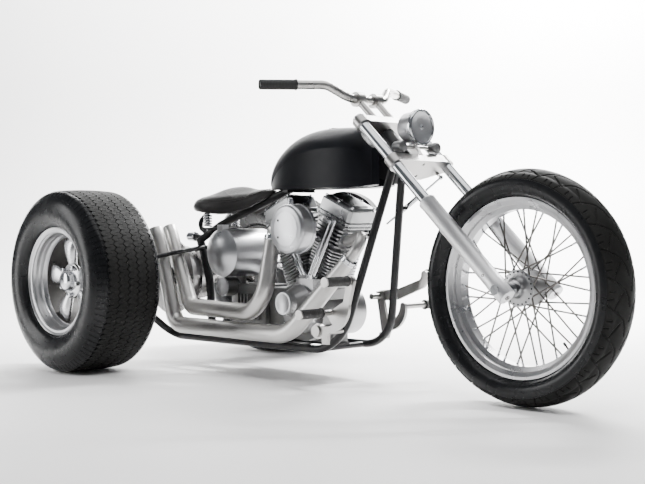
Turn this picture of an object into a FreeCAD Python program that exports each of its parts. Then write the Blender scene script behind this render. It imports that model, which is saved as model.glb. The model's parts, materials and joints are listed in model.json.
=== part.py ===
"""Motorized trike: rigid frame, V-twin engine, long raked fork and three wheels.

Millimetres. +X points forward, +Y to the left, +Z up. While the pieces are built, X is
measured from the rear axle. write() moves each piece by -CENTRE_X, so that the origin is
on the floor in the middle of the object's length and width.
"""
import FreeCAD, Part
import math
import os

os.makedirs("parts", exist_ok=True)

V = FreeCAD.Vector
ORIGIN = V(0, 0, 0)
X_AXIS = V(1, 0, 0)
Y_AXIS = V(0, 1, 0)
Z_AXIS = V(0, 0, 1)
RIGHT = -1
LEFT = 1

# ---- driving dimensions ------------------------------------------------------------------
WHEELBASE = 1748.0
FRONT_TYRE_R = 370.5
REAR_TYRE_R = 353.0
CENTRE_X = (WHEELBASE + FRONT_TYRE_R - REAR_TYRE_R) / 2

# ---- front wheel -------------------------------------------------------------------------
FRONT_TYRE_HALF = 76.0
FRONT_RIM_R = 281.5
FRONT_RIM_HALF = 49.0
FRONT_SEAT_R = 266.0
FRONT_WELL_R = 244.0
FRONT_AXLE_R = 10.0
SPOKES = 40
SPOKE_R = 2.2
SPOKE_LEAN = 54.0
HUB_FLANGE_R = 44.0
HUB_HALF = 58.0

# ---- rear wheels -------------------------------------------------------------------------
REAR_TYRE_HALF = 137.0
REAR_RIM_R = 208.0
REAR_RIM_HALF = 126.0
REAR_SEAT_R = 190.5
REAR_BARREL_R = 169.0
REAR_Y = 508.0
WHEEL_FACE = 51.5
SPINDLE_R = 20.0
HUB_INNER = 58.0

# ---- fork and steering, measured along the fork from the front axle ------------------------
RAKE = 47.2
FORK_Y = 126.0
FORK_TUBE_R = 19.5
SLIDER_R = 25.0
SLIDER_TOP = 402.0
FORK_TOP = 826.0
NECK_OFFSET = 30.0
NECK_R = 30.0
STEM_R = 14.0
LOWER_CLAMP = (578.0, 614.0)
UPPER_CLAMP = (785.0, 815.0)
NECK_SPAN = (622.0, 777.0)
RISER_Y = 44.0
RISER_R = 13.0
CLAMP_RING = 7.5
BAR_R = 15.5
BAR_AT = (1063.0, 1006.0)
BAR_END = (914.0, 366.0, 1047.0)
BAR_KNEE = (1018.0, 155.0, 1053.0)
GRIP_R = 18.0
GRIP_LENGTH = 128.0

# ---- engine ------------------------------------------------------------------------------
CRANK = (810.0, 245.0)
V_ANGLE = 22.5
DECK = 122.0
HEAD = 282.0
ROCKER = 362.0
ENGINE_TOP = 440.0

# ---- seat and tail lamp ------------------------------------------------------------------
SEAT_Z = 616.0
SPRING_X = 232.0
SPRING_Z = 556.0
SPRING_Y = 72.0
SPRING_R = 20.0
LAMP_END = 60.0

# ---- fits --------------------------------------------------------------------------------
RUNNING_FIT = 0.05
SEAT_FIT = 0.3


# ---- helpers -----------------------------------------------------------------------------
def profile(start, *steps, plane="xz"):
    """A face from (a, b) points; a step ((a, b), (a, b)) is an arc through its first point."""
    def at(point):
        return V(point[0], point[1], 0) if plane == "xy" else V(point[0], 0, point[1])
    edges = []
    here = at(start)
    for step in steps + (start,):
        if isinstance(step[0], tuple):
            end = at(step[1])
            edges.append(Part.Arc(here, at(step[0]), end).toShape())
        else:
            end = at(step)
            if end.distanceToPoint(here) < 1e-6:
                continue
            edges.append(Part.makeLine(here, end))
        here = end
    return Part.Face(Part.Wire(edges))


def plate(y0, y1, start, *steps):
    """A plate from y0 to y1 with an outline of (x, z) points."""
    face = profile(start, *steps)
    face.translate(V(0, y0, 0))
    return face.extrude(V(0, y1 - y0, 0))


def block(x0, x1, y0, y1, z0, z1):
    return Part.makeBox(x1 - x0, y1 - y0, z1 - z0, V(x0, y0, z0))


def spun(start, *steps):
    """A solid turned about the Y axis from (radius, y) points."""
    return profile(start, *steps, plane="xy").revolve(ORIGIN, Y_AXIS, 360)


def dome(radius, edge, tip, outward=False):
    """The arc of a ball-shaped end on the Y axis, from its edge to its tip or outward."""
    rise = tip - edge
    ball = (radius ** 2 + rise ** 2) / (2 * rise)
    half = math.asin(radius / abs(ball)) / 2
    middle = (abs(ball) * math.sin(half), tip - ball * (1 - math.cos(half)))
    return (middle, (radius, edge)) if outward else (middle, (0, tip))


def cyl_y(radius, y0, y1, x=0.0, z=0.0):
    return Part.makeCylinder(radius, y1 - y0, V(x, y0, z), Y_AXIS)


def rod(a, b, radius):
    return Part.makeCylinder(radius, a.distanceToPoint(b), a, b - a)


def route(points, bends):
    """A wire through the points, with each corner rounded to its own radius."""
    edges = []
    start = points[0]
    for before, corner, after, bend in zip(points, points[1:], points[2:], bends):
        back = (before - corner).normalize()
        ahead = (after - corner).normalize()
        half = back.getAngle(ahead) / 2
        reach = bend / math.tan(half)
        inward = (back + ahead).normalize()
        middle = corner + inward * (bend / math.sin(half) - bend)
        first = corner + back * reach
        last = corner + ahead * reach
        edges.append(Part.makeLine(start, first))
        edges.append(Part.Arc(first, middle, last).toShape())
        start = last
    edges.append(Part.makeLine(start, points[-1]))
    return Part.Wire(edges)


def tube(points, radius, *bends):
    """A round bar swept along a route of straight runs and arcs; one bend radius serves all."""
    section = Part.Wire([Part.makeCircle(radius, points[0], points[1] - points[0])])
    each = bends if len(bends) > 1 else bends * (len(points) - 2)
    return route(points, each).makePipeShell([section], True, True)


def fused(*shapes):
    whole = shapes[0].multiFuse(list(shapes[1:]))
    return whole.removeSplitter()


def leaned(shape, angle, x=0.0, z=0.0):
    """The shape turned about the Y axis, so that its top goes forward, then moved."""
    moved = shape.copy()
    moved.rotate(ORIGIN, Y_AXIS, angle)
    moved.translate(V(x, 0, z))
    return moved


def mirrored(shape):
    return shape.mirror(ORIGIN, Y_AXIS)


def on_fork(shape):
    """From fork coordinates (ahead, y, up along the fork from the axle) to the trike."""
    return leaned(shape, -RAKE, WHEELBASE, FRONT_TYRE_R)


def fork_place(ahead, y, along):
    """A point of the trike at fork coordinates."""
    angle = math.radians(RAKE)
    return V(WHEELBASE + ahead * math.cos(angle) - along * math.sin(angle), y,
             FRONT_TYRE_R + ahead * math.sin(angle) + along * math.cos(angle))


def write(name, shape):
    """One STEP file, with its origin in the middle of the floor."""
    if shape.ShapeType == "Compound" and len(shape.Solids) == 1:
        shape = shape.Solids[0]
    moved = shape.copy()
    moved.translate(V(-CENTRE_X, 0, 0))
    solids = len(moved.Solids)
    if solids != 1 or not moved.isValid():
        print("CHECK", name, "solids", solids, "valid", moved.isValid())
    moved.exportStep("parts/" + name + ".step")


# ---- front wheel -------------------------------------------------------------------------
def front_tyre():
    half = FRONT_TYRE_HALF
    bead = FRONT_RIM_HALF - 7
    tyre = spun((FRONT_SEAT_R, -bead), (FRONT_RIM_R + 2, -bead), (FRONT_RIM_R + 4, -bead - 8),
                ((322, -half), (357, -44)), ((FRONT_TYRE_R, 0), (357, 44)),
                ((322, half), (FRONT_RIM_R + 4, bead + 8)), (FRONT_RIM_R + 2, bead),
                (FRONT_SEAT_R, bead))
    tyre.translate(V(WHEELBASE, 0, FRONT_TYRE_R))
    return tyre


def rim_profile(rim_r, half, seat_r, barrel_r, flange, step):
    """Half of a rim's outline, from its middle to the +Y flange and back."""
    return [(seat_r - 12, 0), (seat_r - 12, half - step), (seat_r - SEAT_FIT, half - step + 8),
            (seat_r - SEAT_FIT, half - flange), (rim_r, half - flange), (rim_r, half),
            (rim_r - 9, half), (seat_r - 7, half - 9), (seat_r - 7, half - step + 4),
            (barrel_r, half - step - 3), (barrel_r, 0)]


def rim(rim_r, half, seat_r, barrel_r, flange, step):
    side = rim_profile(rim_r, half, seat_r, barrel_r, flange, step)
    other = [(radius, -y) for radius, y in reversed(side[1:-1])]
    return spun(*(side + other))


def front_rim():
    solid = rim(FRONT_RIM_R, FRONT_RIM_HALF, FRONT_SEAT_R, FRONT_WELL_R, 6.5, 28)
    solid.translate(V(WHEELBASE, 0, FRONT_TYRE_R))
    return solid


def front_hub():
    """Two-flange hub with its crossed spokes."""
    half = HUB_HALF
    hub = spun((FRONT_AXLE_R + RUNNING_FIT, -half), (24, -half), (26, -38), (HUB_FLANGE_R, -37),
               (HUB_FLANGE_R, -31), (22, -26), (22, 26), (HUB_FLANGE_R, 31),
               (HUB_FLANGE_R, 37), (26, 38), (24, half), (FRONT_AXLE_R + RUNNING_FIT, half))
    spokes = []
    for number in range(SPOKES):
        side = 1 if number % 2 else -1
        lean = SPOKE_LEAN if number % 4 < 2 else -SPOKE_LEAN
        angle = math.radians(360 / SPOKES * number)
        root = angle + math.radians(lean)
        inner = V(38 * math.cos(root), 34 * side, 38 * math.sin(root))
        reach = FRONT_WELL_R + 4
        outer = V(reach * math.cos(angle), 9 * side, reach * math.sin(angle))
        spokes.append(rod(inner, outer, SPOKE_R))
    whole = hub.multiFuse(spokes)
    whole.translate(V(WHEELBASE, 0, FRONT_TYRE_R))
    return whole.cut(front_rim())


def front_axle():
    reach = FORK_Y + SLIDER_R + 6
    axle = cyl_y(FRONT_AXLE_R, -reach, reach, WHEELBASE, FRONT_TYRE_R)
    spacers = []
    for side in (RIGHT, LEFT):
        y0, y1 = sorted((side * (HUB_HALF + 5), side * (FORK_Y - SLIDER_R - SEAT_FIT)))
        spacers.append(cyl_y(16, y0, y1, WHEELBASE, FRONT_TYRE_R))
        y0, y1 = sorted((side * (FORK_Y + SLIDER_R + 0.5), side * reach))
        spacers.append(cyl_y(15, y0, y1, WHEELBASE, FRONT_TYRE_R))
    return fused(axle, *spacers)


# ---- rear wheels -------------------------------------------------------------------------
def rear_tyre(side):
    half = REAR_TYRE_HALF
    bead = REAR_RIM_HALF - 8
    tyre = spun((REAR_SEAT_R, -bead), (REAR_RIM_R + 2, -bead), (REAR_RIM_R + 5, -bead - 12),
                ((275, -half), (332, -119)), ((346, -113), (349, -100)),
                ((REAR_TYRE_R, 0), (349, 100)), ((346, 113), (332, 119)),
                ((275, half), (REAR_RIM_R + 5, bead + 12)), (REAR_RIM_R + 2, bead),
                (REAR_SEAT_R, bead))
    tyre.translate(V(0, side * REAR_Y, REAR_TYRE_R))
    return tyre


def rear_wheel(side):
    """Deep rim with five spokes; built as the right wheel, whose outside is towards -Y."""
    face = WHEEL_FACE - REAR_RIM_HALF
    wheel = rim(REAR_RIM_R, REAR_RIM_HALF, REAR_SEAT_R, REAR_BARREL_R, 7, 46)
    bore = SPINDLE_R + RUNNING_FIT
    hub = spun((bore, face + 16), (30, face + 16), (30, face - 6), (72, face), (72, face + 34),
               (46, face + 42), (46, HUB_INNER), (bore, HUB_INNER))
    cap = cyl_y(40, face - 18, face + 16)
    parts = [wheel, hub, cap]
    for number in range(5):
        spoke = plate(face, face + 30, (-31, 50), (-22, REAR_BARREL_R + 4),
                      (22, REAR_BARREL_R + 4), (31, 50))
        spoke.rotate(ORIGIN, Y_AXIS, 72 * number)
        angle = math.radians(72 * number + 36)
        nut = cyl_y(9, face - 10, face + 6, 57 * math.cos(angle), 57 * math.sin(angle))
        parts += [spoke, nut]
    whole = fused(*parts)
    if side == LEFT:
        whole = mirrored(whole)
    whole.translate(V(0, side * REAR_Y, REAR_TYRE_R))
    return whole


# ---- frame -------------------------------------------------------------------------------
CRADLE_R = 14.3
BACKBONE_R = 15.5
CRADLE_Y = 118.0
RAIL_Z = 124.0
CARRIER_Y = 362.0
SEAT_POST_R = 17.0
HOOP_R = 10.0
TOP_RUN = (V(640, 0, 698), V(230, 0, 568))
STAY_R = 9.0


def neck_at(along):
    return fork_place(-NECK_OFFSET, 0, along)


def neck_body(grow=0.0):
    return rod(neck_at(NECK_SPAN[0] - grow), neck_at(NECK_SPAN[1] + grow), NECK_R + grow)


def frame_backbone():
    """Steering neck, top tube, seat post and the gusset behind the neck."""
    bore = rod(neck_at(NECK_SPAN[0] - 5), neck_at(NECK_SPAN[1] + 5), STEM_R + RUNNING_FIT)
    top = tube([neck_at(700), *TOP_RUN, V(92, 0, 505)], BACKBONE_R, 90)
    post = tube([V(86, 0, 508), V(150, 0, 345), V(166, 0, RAIL_Z)], SEAT_POST_R, 250)
    hoop = tube([V(140, 0, 527), V(70, 0, 568), V(150, 0, SEAT_Z + 8)], HOOP_R, 24)
    hoop = hoop.cut(block(0, 300, -50, 50, SEAT_Z, SEAT_Z + 50))
    stub = rod(V(LAMP_END, 0, 518), V(125, 0, 518), 9)
    perch = block(SPRING_X - 22, SPRING_X + 24, -96, 96, SPRING_Z - 10, SPRING_Z)
    gusset = plate(-7, 7, (1120, 788), (1200, 812), (1226, 790), (1200, 706),
                   ((1150, 722), (1060, 748)), (960, 760))
    stays = [frame_stay(side) for side in (RIGHT, LEFT)]
    tank_mount = block(690, 716, -70, 70, 688, 698)
    parts = [top, post, gusset, hoop, stub, perch, tank_mount, engine_mounts(), *stays]
    return fused(neck_body(), *parts).cut(bore)


def cradle_tube(side, radius):
    """Downtube and lower rail in one bent tube, up to the axle's outer end."""
    points = [V(1221, side * 16, 810), V(1050, side * 128, RAIL_Z + 2),
              V(60, side * CRADLE_Y, RAIL_Z - 10), V(0, side * CARRIER_Y, 330)]
    return tube(points, radius, 165, 75)


def frame_cradle(side):
    cradle = cradle_tube(side, CRADLE_R)
    if side == LEFT:
        cradle = cradle.fuse(damper_lug())
    middle = plate(-7 - SEAT_FIT, 7 + SEAT_FIT, (1130, 690), (1130, 800), (1300, 800), (1300, 690))
    return cradle.cut(neck_body(SEAT_FIT)).cut(middle).cut(carrier(side, SEAT_FIT))


def frame_stay(side):
    """Upper stay: out from the seat post, ahead of the stacks, and back to the axle's end."""
    stay = tube([V(112, side * 4, 474), V(150, side * 148, 460), V(134, side * 250, 442),
                 V(20, side * CARRIER_Y, 400)], STAY_R, 70, 70)
    return stay.cut(carrier(side, SEAT_FIT))


def engine_mounts():
    """Cross tubes and plates that carry the engine and gearbox between the rails."""
    inner = CRADLE_Y - CRADLE_R - SEAT_FIT - 1
    parts = [cyl_y(11, -inner, inner, x, RAIL_Z) for x in (150, 430, 680, 930)]
    parts.append(block(140, 940, -30, 30, RAIL_Z + 4, RAIL_Z + 14))
    return fused(*parts)


# ---- rear axle ---------------------------------------------------------------------------
AXLE_R = 36.0
CARRIER_R = 56.0
DRUM_R = 127.0
DISC_R = 158.0
SPROCKET_Y = 62.0
SPROCKET_R = 100.0
DRIVE_X = 430.0
DRIVE_Z = 268.0
DRIVE_R = 44.0
CHAIN_H = 15.0
CHAIN_W = 16.0


def carrier(side, grow=0.0):
    """Bearing carrier at the axle's outer end, with the end of the axle tube."""
    y0, y1 = sorted((side * (340 - grow), side * (398 + grow)))
    end = cyl_y(CARRIER_R + grow, y0, y1, 0, REAR_TYRE_R)
    y0, y1 = sorted((side * 200, side * 345))
    return end.fuse(cyl_y(AXLE_R + grow, y0, y1, 0, REAR_TYRE_R))


def axle_housing():
    """Axle tube with a brake drum, bearing carriers and the spindles that carry the wheels."""
    parts = [cyl_y(AXLE_R, -350, 350, 0, REAR_TYRE_R)]
    parts.append(cyl_y(DRUM_R, -72, -20, 0, REAR_TYRE_R))
    parts.append(cyl_y(78, -30, 46, 0, REAR_TYRE_R))
    for side in (RIGHT, LEFT):
        parts.append(carrier(side))
        y0, y1 = sorted((side * 390, side * (REAR_Y + 40)))
        parts.append(cyl_y(SPINDLE_R, y0, y1, 0, REAR_TYRE_R))
    parts.append(cyl_y(SPROCKET_R - 1, SPROCKET_Y - 4, SPROCKET_Y + 4, 0, REAR_TYRE_R))
    parts.append(cyl_y(70, 40, SPROCKET_Y, 0, REAR_TYRE_R))
    return fused(*parts)


def brake_disc():
    disc = spun((AXLE_R + 1, -72), (92, -72), (92, -84), (DISC_R, -84), (DISC_R, -90), (70, -90),
                (AXLE_R + 1, -80))
    disc.translate(V(0, 0, REAR_TYRE_R))
    return disc


def loop_outline(x0, z0, r0, x1, z1, r1):
    """A belt's outline around two circles: arcs joined by the two outer tangents."""
    span = math.hypot(x1 - x0, z1 - z0)
    heading = math.atan2(z1 - z0, x1 - x0)
    turn = math.acos((r0 - r1) / span)

    def on(x, z, radius, angle):
        return (x + radius * math.cos(angle), z + radius * math.sin(angle))
    return profile(on(x0, z0, r0, heading + turn),
                   (on(x0, z0, r0, heading + math.pi), on(x0, z0, r0, heading - turn)),
                   on(x1, z1, r1, heading - turn),
                   (on(x1, z1, r1, heading), on(x1, z1, r1, heading + turn)))


def slab(face, y0, y1):
    moved = face.copy()
    moved.translate(V(0, y0, 0))
    return moved.extrude(V(0, y1 - y0, 0))


def drive_chain():
    half = CHAIN_W / 2
    outer = loop_outline(0, REAR_TYRE_R, SPROCKET_R + CHAIN_H, DRIVE_X, DRIVE_Z, DRIVE_R + CHAIN_H)
    inner = loop_outline(0, REAR_TYRE_R, SPROCKET_R, DRIVE_X, DRIVE_Z, DRIVE_R)
    y0 = SPROCKET_Y - half
    y1 = SPROCKET_Y + half
    return slab(outer, y0, y1).cut(slab(inner, y0 - 1, y1 + 1))


# ---- engine ------------------------------------------------------------------------------
CASE_HALF = 75.0
CASE_R = 104.0
FIN_HALF = 73.0
REAR_PORT = (14.0, HEAD + 40)
FRONT_PORT = V(1020, -56, 509)
FRONT_HEADER_BEND = V(1186, -124, 538)
FIN_CORNER = 22.0
FIN_PITCH = 12.0
FIN_T = 4.5
BARREL_R = 55.0
PUSHROD_R = 9.0
PUSHROD_GAP = 25.0


def in_cylinder(shape, lean):
    """From a cylinder's own coordinates, along its axis from the crank, to the trike."""
    return leaned(shape, lean * V_ANGLE, CRANK[0], CRANK[1])


def fin(height, half_x, half_y, thick=FIN_T):
    """A flat fin with cut corners, square to the cylinder's axis."""
    c = FIN_CORNER
    points = [V(half_x - c, -half_y, height), V(half_x, c - half_y, height),
              V(half_x, half_y - c, height), V(half_x - c, half_y, height),
              V(c - half_x, half_y, height), V(-half_x, half_y - c, height),
              V(-half_x, c - half_y, height), V(c - half_x, -half_y, height)]
    face = Part.Face(Part.makePolygon(points + points[:1]))
    return face.extrude(V(0, 0, thick))


def crankcase():
    """Round case with a deck for each cylinder and feet on the mounting plate."""
    parts = [cyl_y(CASE_R, -CASE_HALF, CASE_HALF, *CRANK)]
    for lean in (-1, 1):
        deck = Part.makeBox(132, 132, DECK - 50, V(-66, -66, 50))
        parts.append(in_cylinder(deck, lean).cut(past_middle(lean, 0)))
    parts.append(block(690, 925, -36, 36, RAIL_Z + 14, 190))
    parts.append(block(600, 720, -60, 60, 190, 330))
    return fused(*parts)


def past_middle(lean, gap):
    """The space on the other side of the engine's middle plane."""
    x0, x1 = sorted((CRANK[0] + lean * gap, CRANK[0] - lean * 300))
    return block(x0, x1, -200, 200, 200, 700)


def cylinder(lean):
    """Finned barrel and finned head, notched for the pushrod tubes."""
    parts = [Part.makeCylinder(BARREL_R, HEAD - DECK, V(0, 0, DECK))]
    count = int((HEAD - DECK - 8) / FIN_PITCH)
    for number in range(count):
        parts.append(fin(DECK + 8 + number * FIN_PITCH, FIN_HALF, FIN_HALF))
    parts.append(Part.makeBox(112, 112, ROCKER - HEAD, V(-56, -56, HEAD)))
    for number in range(5):
        parts.append(fin(HEAD + 2 + number * 15, FIN_HALF + 5, FIN_HALF + 3, 6))
    if lean < 0:
        parts.append(Part.makeCylinder(27, 46, V(REAR_PORT[0], -40, REAR_PORT[1]), V(0, -1, 0)))
    whole = in_cylinder(fused(*parts), lean).cut(past_middle(lean, 1.5))
    if lean > 0:
        outwards = (FRONT_HEADER_BEND - FRONT_PORT).normalize()
        whole = whole.fuse(rod(FRONT_PORT - outwards * 60, FRONT_PORT, 27))
    notches = [rod(foot, top, PUSHROD_R + 2) for foot, top in pushrod_ends(lean)]
    notched = whole.cut(notches)
    return max(notched.Solids, key=lambda piece: piece.Volume)


def rocker_box(lean):
    """Two-layer rocker box over a head."""
    lower = Part.makeBox(166, 140, 22, V(-83, -70, ROCKER))
    upper = Part.makeBox(174, 148, ENGINE_TOP - ROCKER - 24, V(-87, -74, ROCKER + 22))
    crown = Part.makeBox(158, 132, 4, V(-79, -66, ENGINE_TOP - 4))
    return in_cylinder(fused(lower, upper, crown), lean)


def timing_cover():
    """Flat gear cover with the nose cone and its round cap."""
    cover = spun((0, -CASE_HALF), (82, -CASE_HALF), (82, -110), (74, -118), (0, -118))
    cover.translate(V(815, 0, 250))
    nose = spun((0, -112), (66, -112), (66, -128), (44, -176), (42, -200), (38, -203), (0, -203))
    nose.translate(V(838, 0, 286))
    blocks = block(812, 905, -118, -CASE_HALF, 330, 372)
    return fused(cover, nose, blocks)


def pushrod_ends(lean):
    """Foot and top of the two pushrod tubes of one cylinder."""
    foot_x = 876 if lean > 0 else 842
    top = in_cylinder(Part.Vertex(V(lean * 8, -66, ROCKER)), lean).Point
    return [(V(foot_x + shift * 0.65, -100, 380), V(top.x + shift, top.y, top.z + 6))
            for shift in (-PUSHROD_GAP / 2, PUSHROD_GAP / 2)]


def pushrod_tubes(lean):
    """The two tubes of one cylinder, from their lifter block to the rocker box."""
    parts = [rod(foot, top, PUSHROD_R) for foot, top in pushrod_ends(lean)]
    foot_x = 876 if lean > 0 else 842
    parts.append(block(foot_x - 16.5, foot_x + 16.5, -112, -86, 372, 386))
    return fused(*parts).cut(rocker_box(lean))


HORN_AT = (852.0, 600.0)
HORN_Y = 112.0
MANIFOLD_Y = 30.0
AIR_X = 878.0
AIR_Y = -225.0
AIR_Z = 553.0
AIR_R = 88.5
AIR_DEPTH = 68.0


def intake():
    """Carburettor and manifold between the cylinders."""
    manifold = block(772, 848, -42, MANIFOLD_Y, 528, 572)
    throat = rod(V(812, -40, 552), V(868, -110, 552), 22)
    body = block(846, 900, -150, -104, 515, 590)
    flange = cyl_y(30, AIR_Y + AIR_DEPTH, -148, AIR_X - 2, AIR_Z)
    whole = fused(manifold, throat, body, flange)
    return whole.cut([cylinder(1), cylinder(-1)])


def air_cleaner():
    """Round drum with bevelled rims."""
    drum = spun((0, 0), (AIR_R - 5, 0), (AIR_R, 6), (AIR_R, AIR_DEPTH - 8), (AIR_R - 8, AIR_DEPTH),
                (0, AIR_DEPTH))
    drum.translate(V(AIR_X, AIR_Y, AIR_Z))
    return drum


def primary_cover():
    """Cover over the drive from the crank to the clutch, on the left."""
    cover = slab(loop_outline(495, 285, 108, CRANK[0], CRANK[1], 92), CASE_HALF, 160)
    raised = slab(loop_outline(495, 285, 84, CRANK[0], CRANK[1], 68), 150, 174)
    return fused(cover, raised)


def gearbox():
    """Gearbox with a finned side, its end cap and the output sprocket."""
    parts = [block(395, 598, -80, 46, RAIL_Z + 14, 338)]
    for number in range(7):
        parts.append(block(440 + number * 20, 448 + number * 20, -92, -78, 205, 300))
    parts.append(cyl_y(37, -128, -70, 400, 327))
    tank = cyl_y(OIL_R + SEAT_FIT, -200, 200, *OIL_AT)
    for y in (-60, 34):
        parts.append(block(398, 446, y, y + 12, 330, 382).cut(tank))
    parts.append(cyl_y(14, 46, SPROCKET_Y + 12, DRIVE_X, DRIVE_Z))
    parts.append(cyl_y(DRIVE_R - 1, SPROCKET_Y - 4, SPROCKET_Y + 4, DRIVE_X, DRIVE_Z))
    return fused(*parts)


def horn_cover():
    """Bulged oval cover on the engine's left side, on an arm from the manifold."""
    half_x = 150
    half_z = 88
    dome_face = Part.Face(Part.Wire(Part.Ellipse(ORIGIN, half_x, half_z).toShape()))
    shell = dome_face.extrude(V(0, 0, 46))
    ball = Part.makeSphere(1)
    stretch = FreeCAD.Matrix()
    stretch.scale(half_x * 1.12, half_z * 1.2, 52)
    shell = shell.common(ball.transformGeometry(stretch))
    shell.rotate(ORIGIN, X_AXIS, -90)
    shell.rotate(ORIGIN, Y_AXIS, 11)
    shell.translate(V(HORN_AT[0], HORN_Y, HORN_AT[1]))
    arm = cyl_y(9, MANIFOLD_Y, HORN_Y + 4, 822, 551)
    return fused(shell, arm)


# ---- exhaust -----------------------------------------------------------------------------
STACK_R = 28.5
PIPE_R = 32.0
PIPE_BORE_R = 26.0
STACK_BORE = 60.0
HEADER_R = 20.0
RING_R = 25.0


def bored_top(pipe, top, below):
    """The open end of a stack."""
    inward = (below - top).normalize()
    return pipe.cut(rod(top - inward * 5, top + inward * STACK_BORE, PIPE_BORE_R))


def swelling_pipe(start, first, second, top, start_r, bends):
    """A pipe that widens from its header to its run, and narrows again up its stack."""
    before = first - (first - start).normalize() * (bends[0] * 1.09)
    up = (top - second).normalize()
    after = second + up * (bends[1] * 0.8)
    upper = after + up * 120
    widening = Part.makeCone(start_r, PIPE_R, (before - start).Length, start, before - start)
    narrowing = Part.makeCone(PIPE_R, STACK_R, 120, after, up)
    run = tube([before, first, second, after], PIPE_R, *bends)
    return fused(widening, run, narrowing, rod(upper, top, STACK_R))


def exhaust_front():
    """Thin header, clamp ring and the lower pipe with its stack."""
    top = V(54, -200, 555)
    ring = V(1122, -150, 447)
    first = V(867, -202, 174)
    second = V(190, -202, 172)
    header = tube([FRONT_PORT, FRONT_HEADER_BEND, ring], HEADER_R, 42)
    pipe = swelling_pipe(ring, first, second, top, RING_R, (150, 62))
    along = (first - ring).normalize()
    collar = rod(ring - along * 8, ring + along * 12, RING_R + 5)
    tab = block(630, 700, -190, -182, 118, 176)
    return bored_top(fused(header, pipe, collar, tab), top, second)


def exhaust_rear():
    """Upper pipe with its stack."""
    top = V(46, -127, 559)
    start = V(722, -148, 520)
    first = V(735, -214, 245)
    second = V(219, -150, 240)
    port = in_cylinder(Part.Vertex(V(REAR_PORT[0], -86, REAR_PORT[1])), -1).Point
    down = (first - start).normalize()
    header = tube([port, port + V(0, -50, 0), start + down * 12], HEADER_R, 30)
    return bored_top(fused(header, swelling_pipe(start, first, second, top, STACK_R, (112, 55))),
                     top, second)


# ---- tanks, seat, lamp -------------------------------------------------------------------
CAP_X = 900.0
CAP_R = 22.0
CAP_SEAT = 906.0
OIL_AT = (422.0, 459.0)
OIL_R = 93.0


def arch(x, half, bottom, shoulder, top):
    """A tank section: flat below, straight sides, one arc over the top."""
    points = [V(x, -half, bottom), V(x, half, bottom), V(x, half, shoulder), V(x, 0, top),
              V(x, -half, shoulder)]
    return Part.Wire([Part.makeLine(points[0], points[1]), Part.makeLine(points[1], points[2]),
                      Part.Arc(points[2], points[3], points[4]).toShape(),
                      Part.makeLine(points[4], points[0])])


def fuel_tank():
    """Teardrop tank lofted through its sections, with a tunnel over the top tube."""
    # x, half width, bottom, shoulder, top
    sections = [(1142, 58, 706, 800, 866), (1110, 84, 701, 822, 893), (1000, 108, 698, 838, 915),
                (880, 108, 698, 834, 917), (760, 92, 698, 808, 899), (660, 64, 699, 772, 853),
                (592, 34, 700, 738, 794), (557, 12, 702, 714, 738)]
    body = Part.makeLoft([arch(*row) for row in sections], True, False)
    tunnel = plate(-BACKBONE_R - 5, BACKBONE_R + 5, (500, 600), (1260, 600), (1260, 866),
                   (640, 724), (500, 700))
    front = on_fork(Part.makeBox(200, 400, 500, V(-NECK_OFFSET - NECK_R - 12, -200, 500)))
    recess = Part.makeCylinder(CAP_R + SEAT_FIT, 60, V(CAP_X, 0, CAP_SEAT))
    return body.cut(tunnel).cut(front).cut(recess)


def tank_cap():
    """Flush filler cap."""
    return Part.makeCylinder(CAP_R, 12, V(CAP_X, 0, CAP_SEAT))


def seat():
    """Solo saddle: wide and deep behind, narrow in front, over the top tube."""
    outline = profile((135, 0), ((152, -82), (212, -122)), ((290, -128), (380, -98)),
                      ((460, -62), (530, -40)), ((553, 0), (530, 40)), ((460, 62), (380, 98)),
                      ((290, 128), (212, 122)), ((152, 82), (135, 0)), plane="xy")
    pad = outline.extrude(V(0, 0, 800))
    side = plate(-150, 150, (100, SEAT_Z), (340, SEAT_Z), ((455, 632), (600, 690)), (600, 716),
                 ((455, 676), (300, 690)), ((200, 694), (100, 680)))
    run = rod(TOP_RUN[1], TOP_RUN[0], BACKBONE_R + SEAT_FIT)
    return pad.common(side).cut(run)


def seat_spring(side):
    """One coil spring under the saddle, on its perch."""
    return Part.makeCylinder(SPRING_R, SEAT_Z - SPRING_Z, V(SPRING_X, side * SPRING_Y, SPRING_Z))


def oil_tank():
    """Cylinder across the frame with domed ends."""
    tank = spun((0, -186), dome(OIL_R, -150, -186, True), (OIL_R, 48), dome(OIL_R, 48, 70))
    tank.translate(V(OIL_AT[0], 0, OIL_AT[1]))
    return fused(tank, block(404, 436, -158, -128, 540, 568))


def tail_lamp():
    """Bullet lamp behind the seat post, lens to the rear."""
    lamp = spun((0, 0), (17, 0), (20, 5), (20, 36), dome(20, 36, 58))
    lamp.rotate(ORIGIN, Z_AXIS, 90)
    lamp.translate(V(LAMP_END, 0, 518))
    return lamp


# ---- foot controls -----------------------------------------------------------------------
PLATE_Y = (213.0, 225.0)
LEFT_PLATE_Y = (150.0, 162.0)
LEFT_UPPER_PEG = (1194.0, 389.0)
LEFT_LOWER_PEG = (1093.0, 270.0)
UPPER_PEG = (1203.0, 381.0)
LOWER_PEG = (1108.0, 271.0)
PEG_R = 16.5
PEG_CORE_R = 7.0


def seated_stub(x, z, reach):
    """A stub that carries a foot bracket, seated on the bent tube of the left cradle."""
    stub = cyl_y(10, 112, reach, x, z)
    seat_on = cradle_tube(LEFT, CRADLE_R + SEAT_FIT)
    rest = stub.cut(seat_on)
    return max(rest.Solids, key=lambda piece: piece.BoundBox.YMax)


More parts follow.
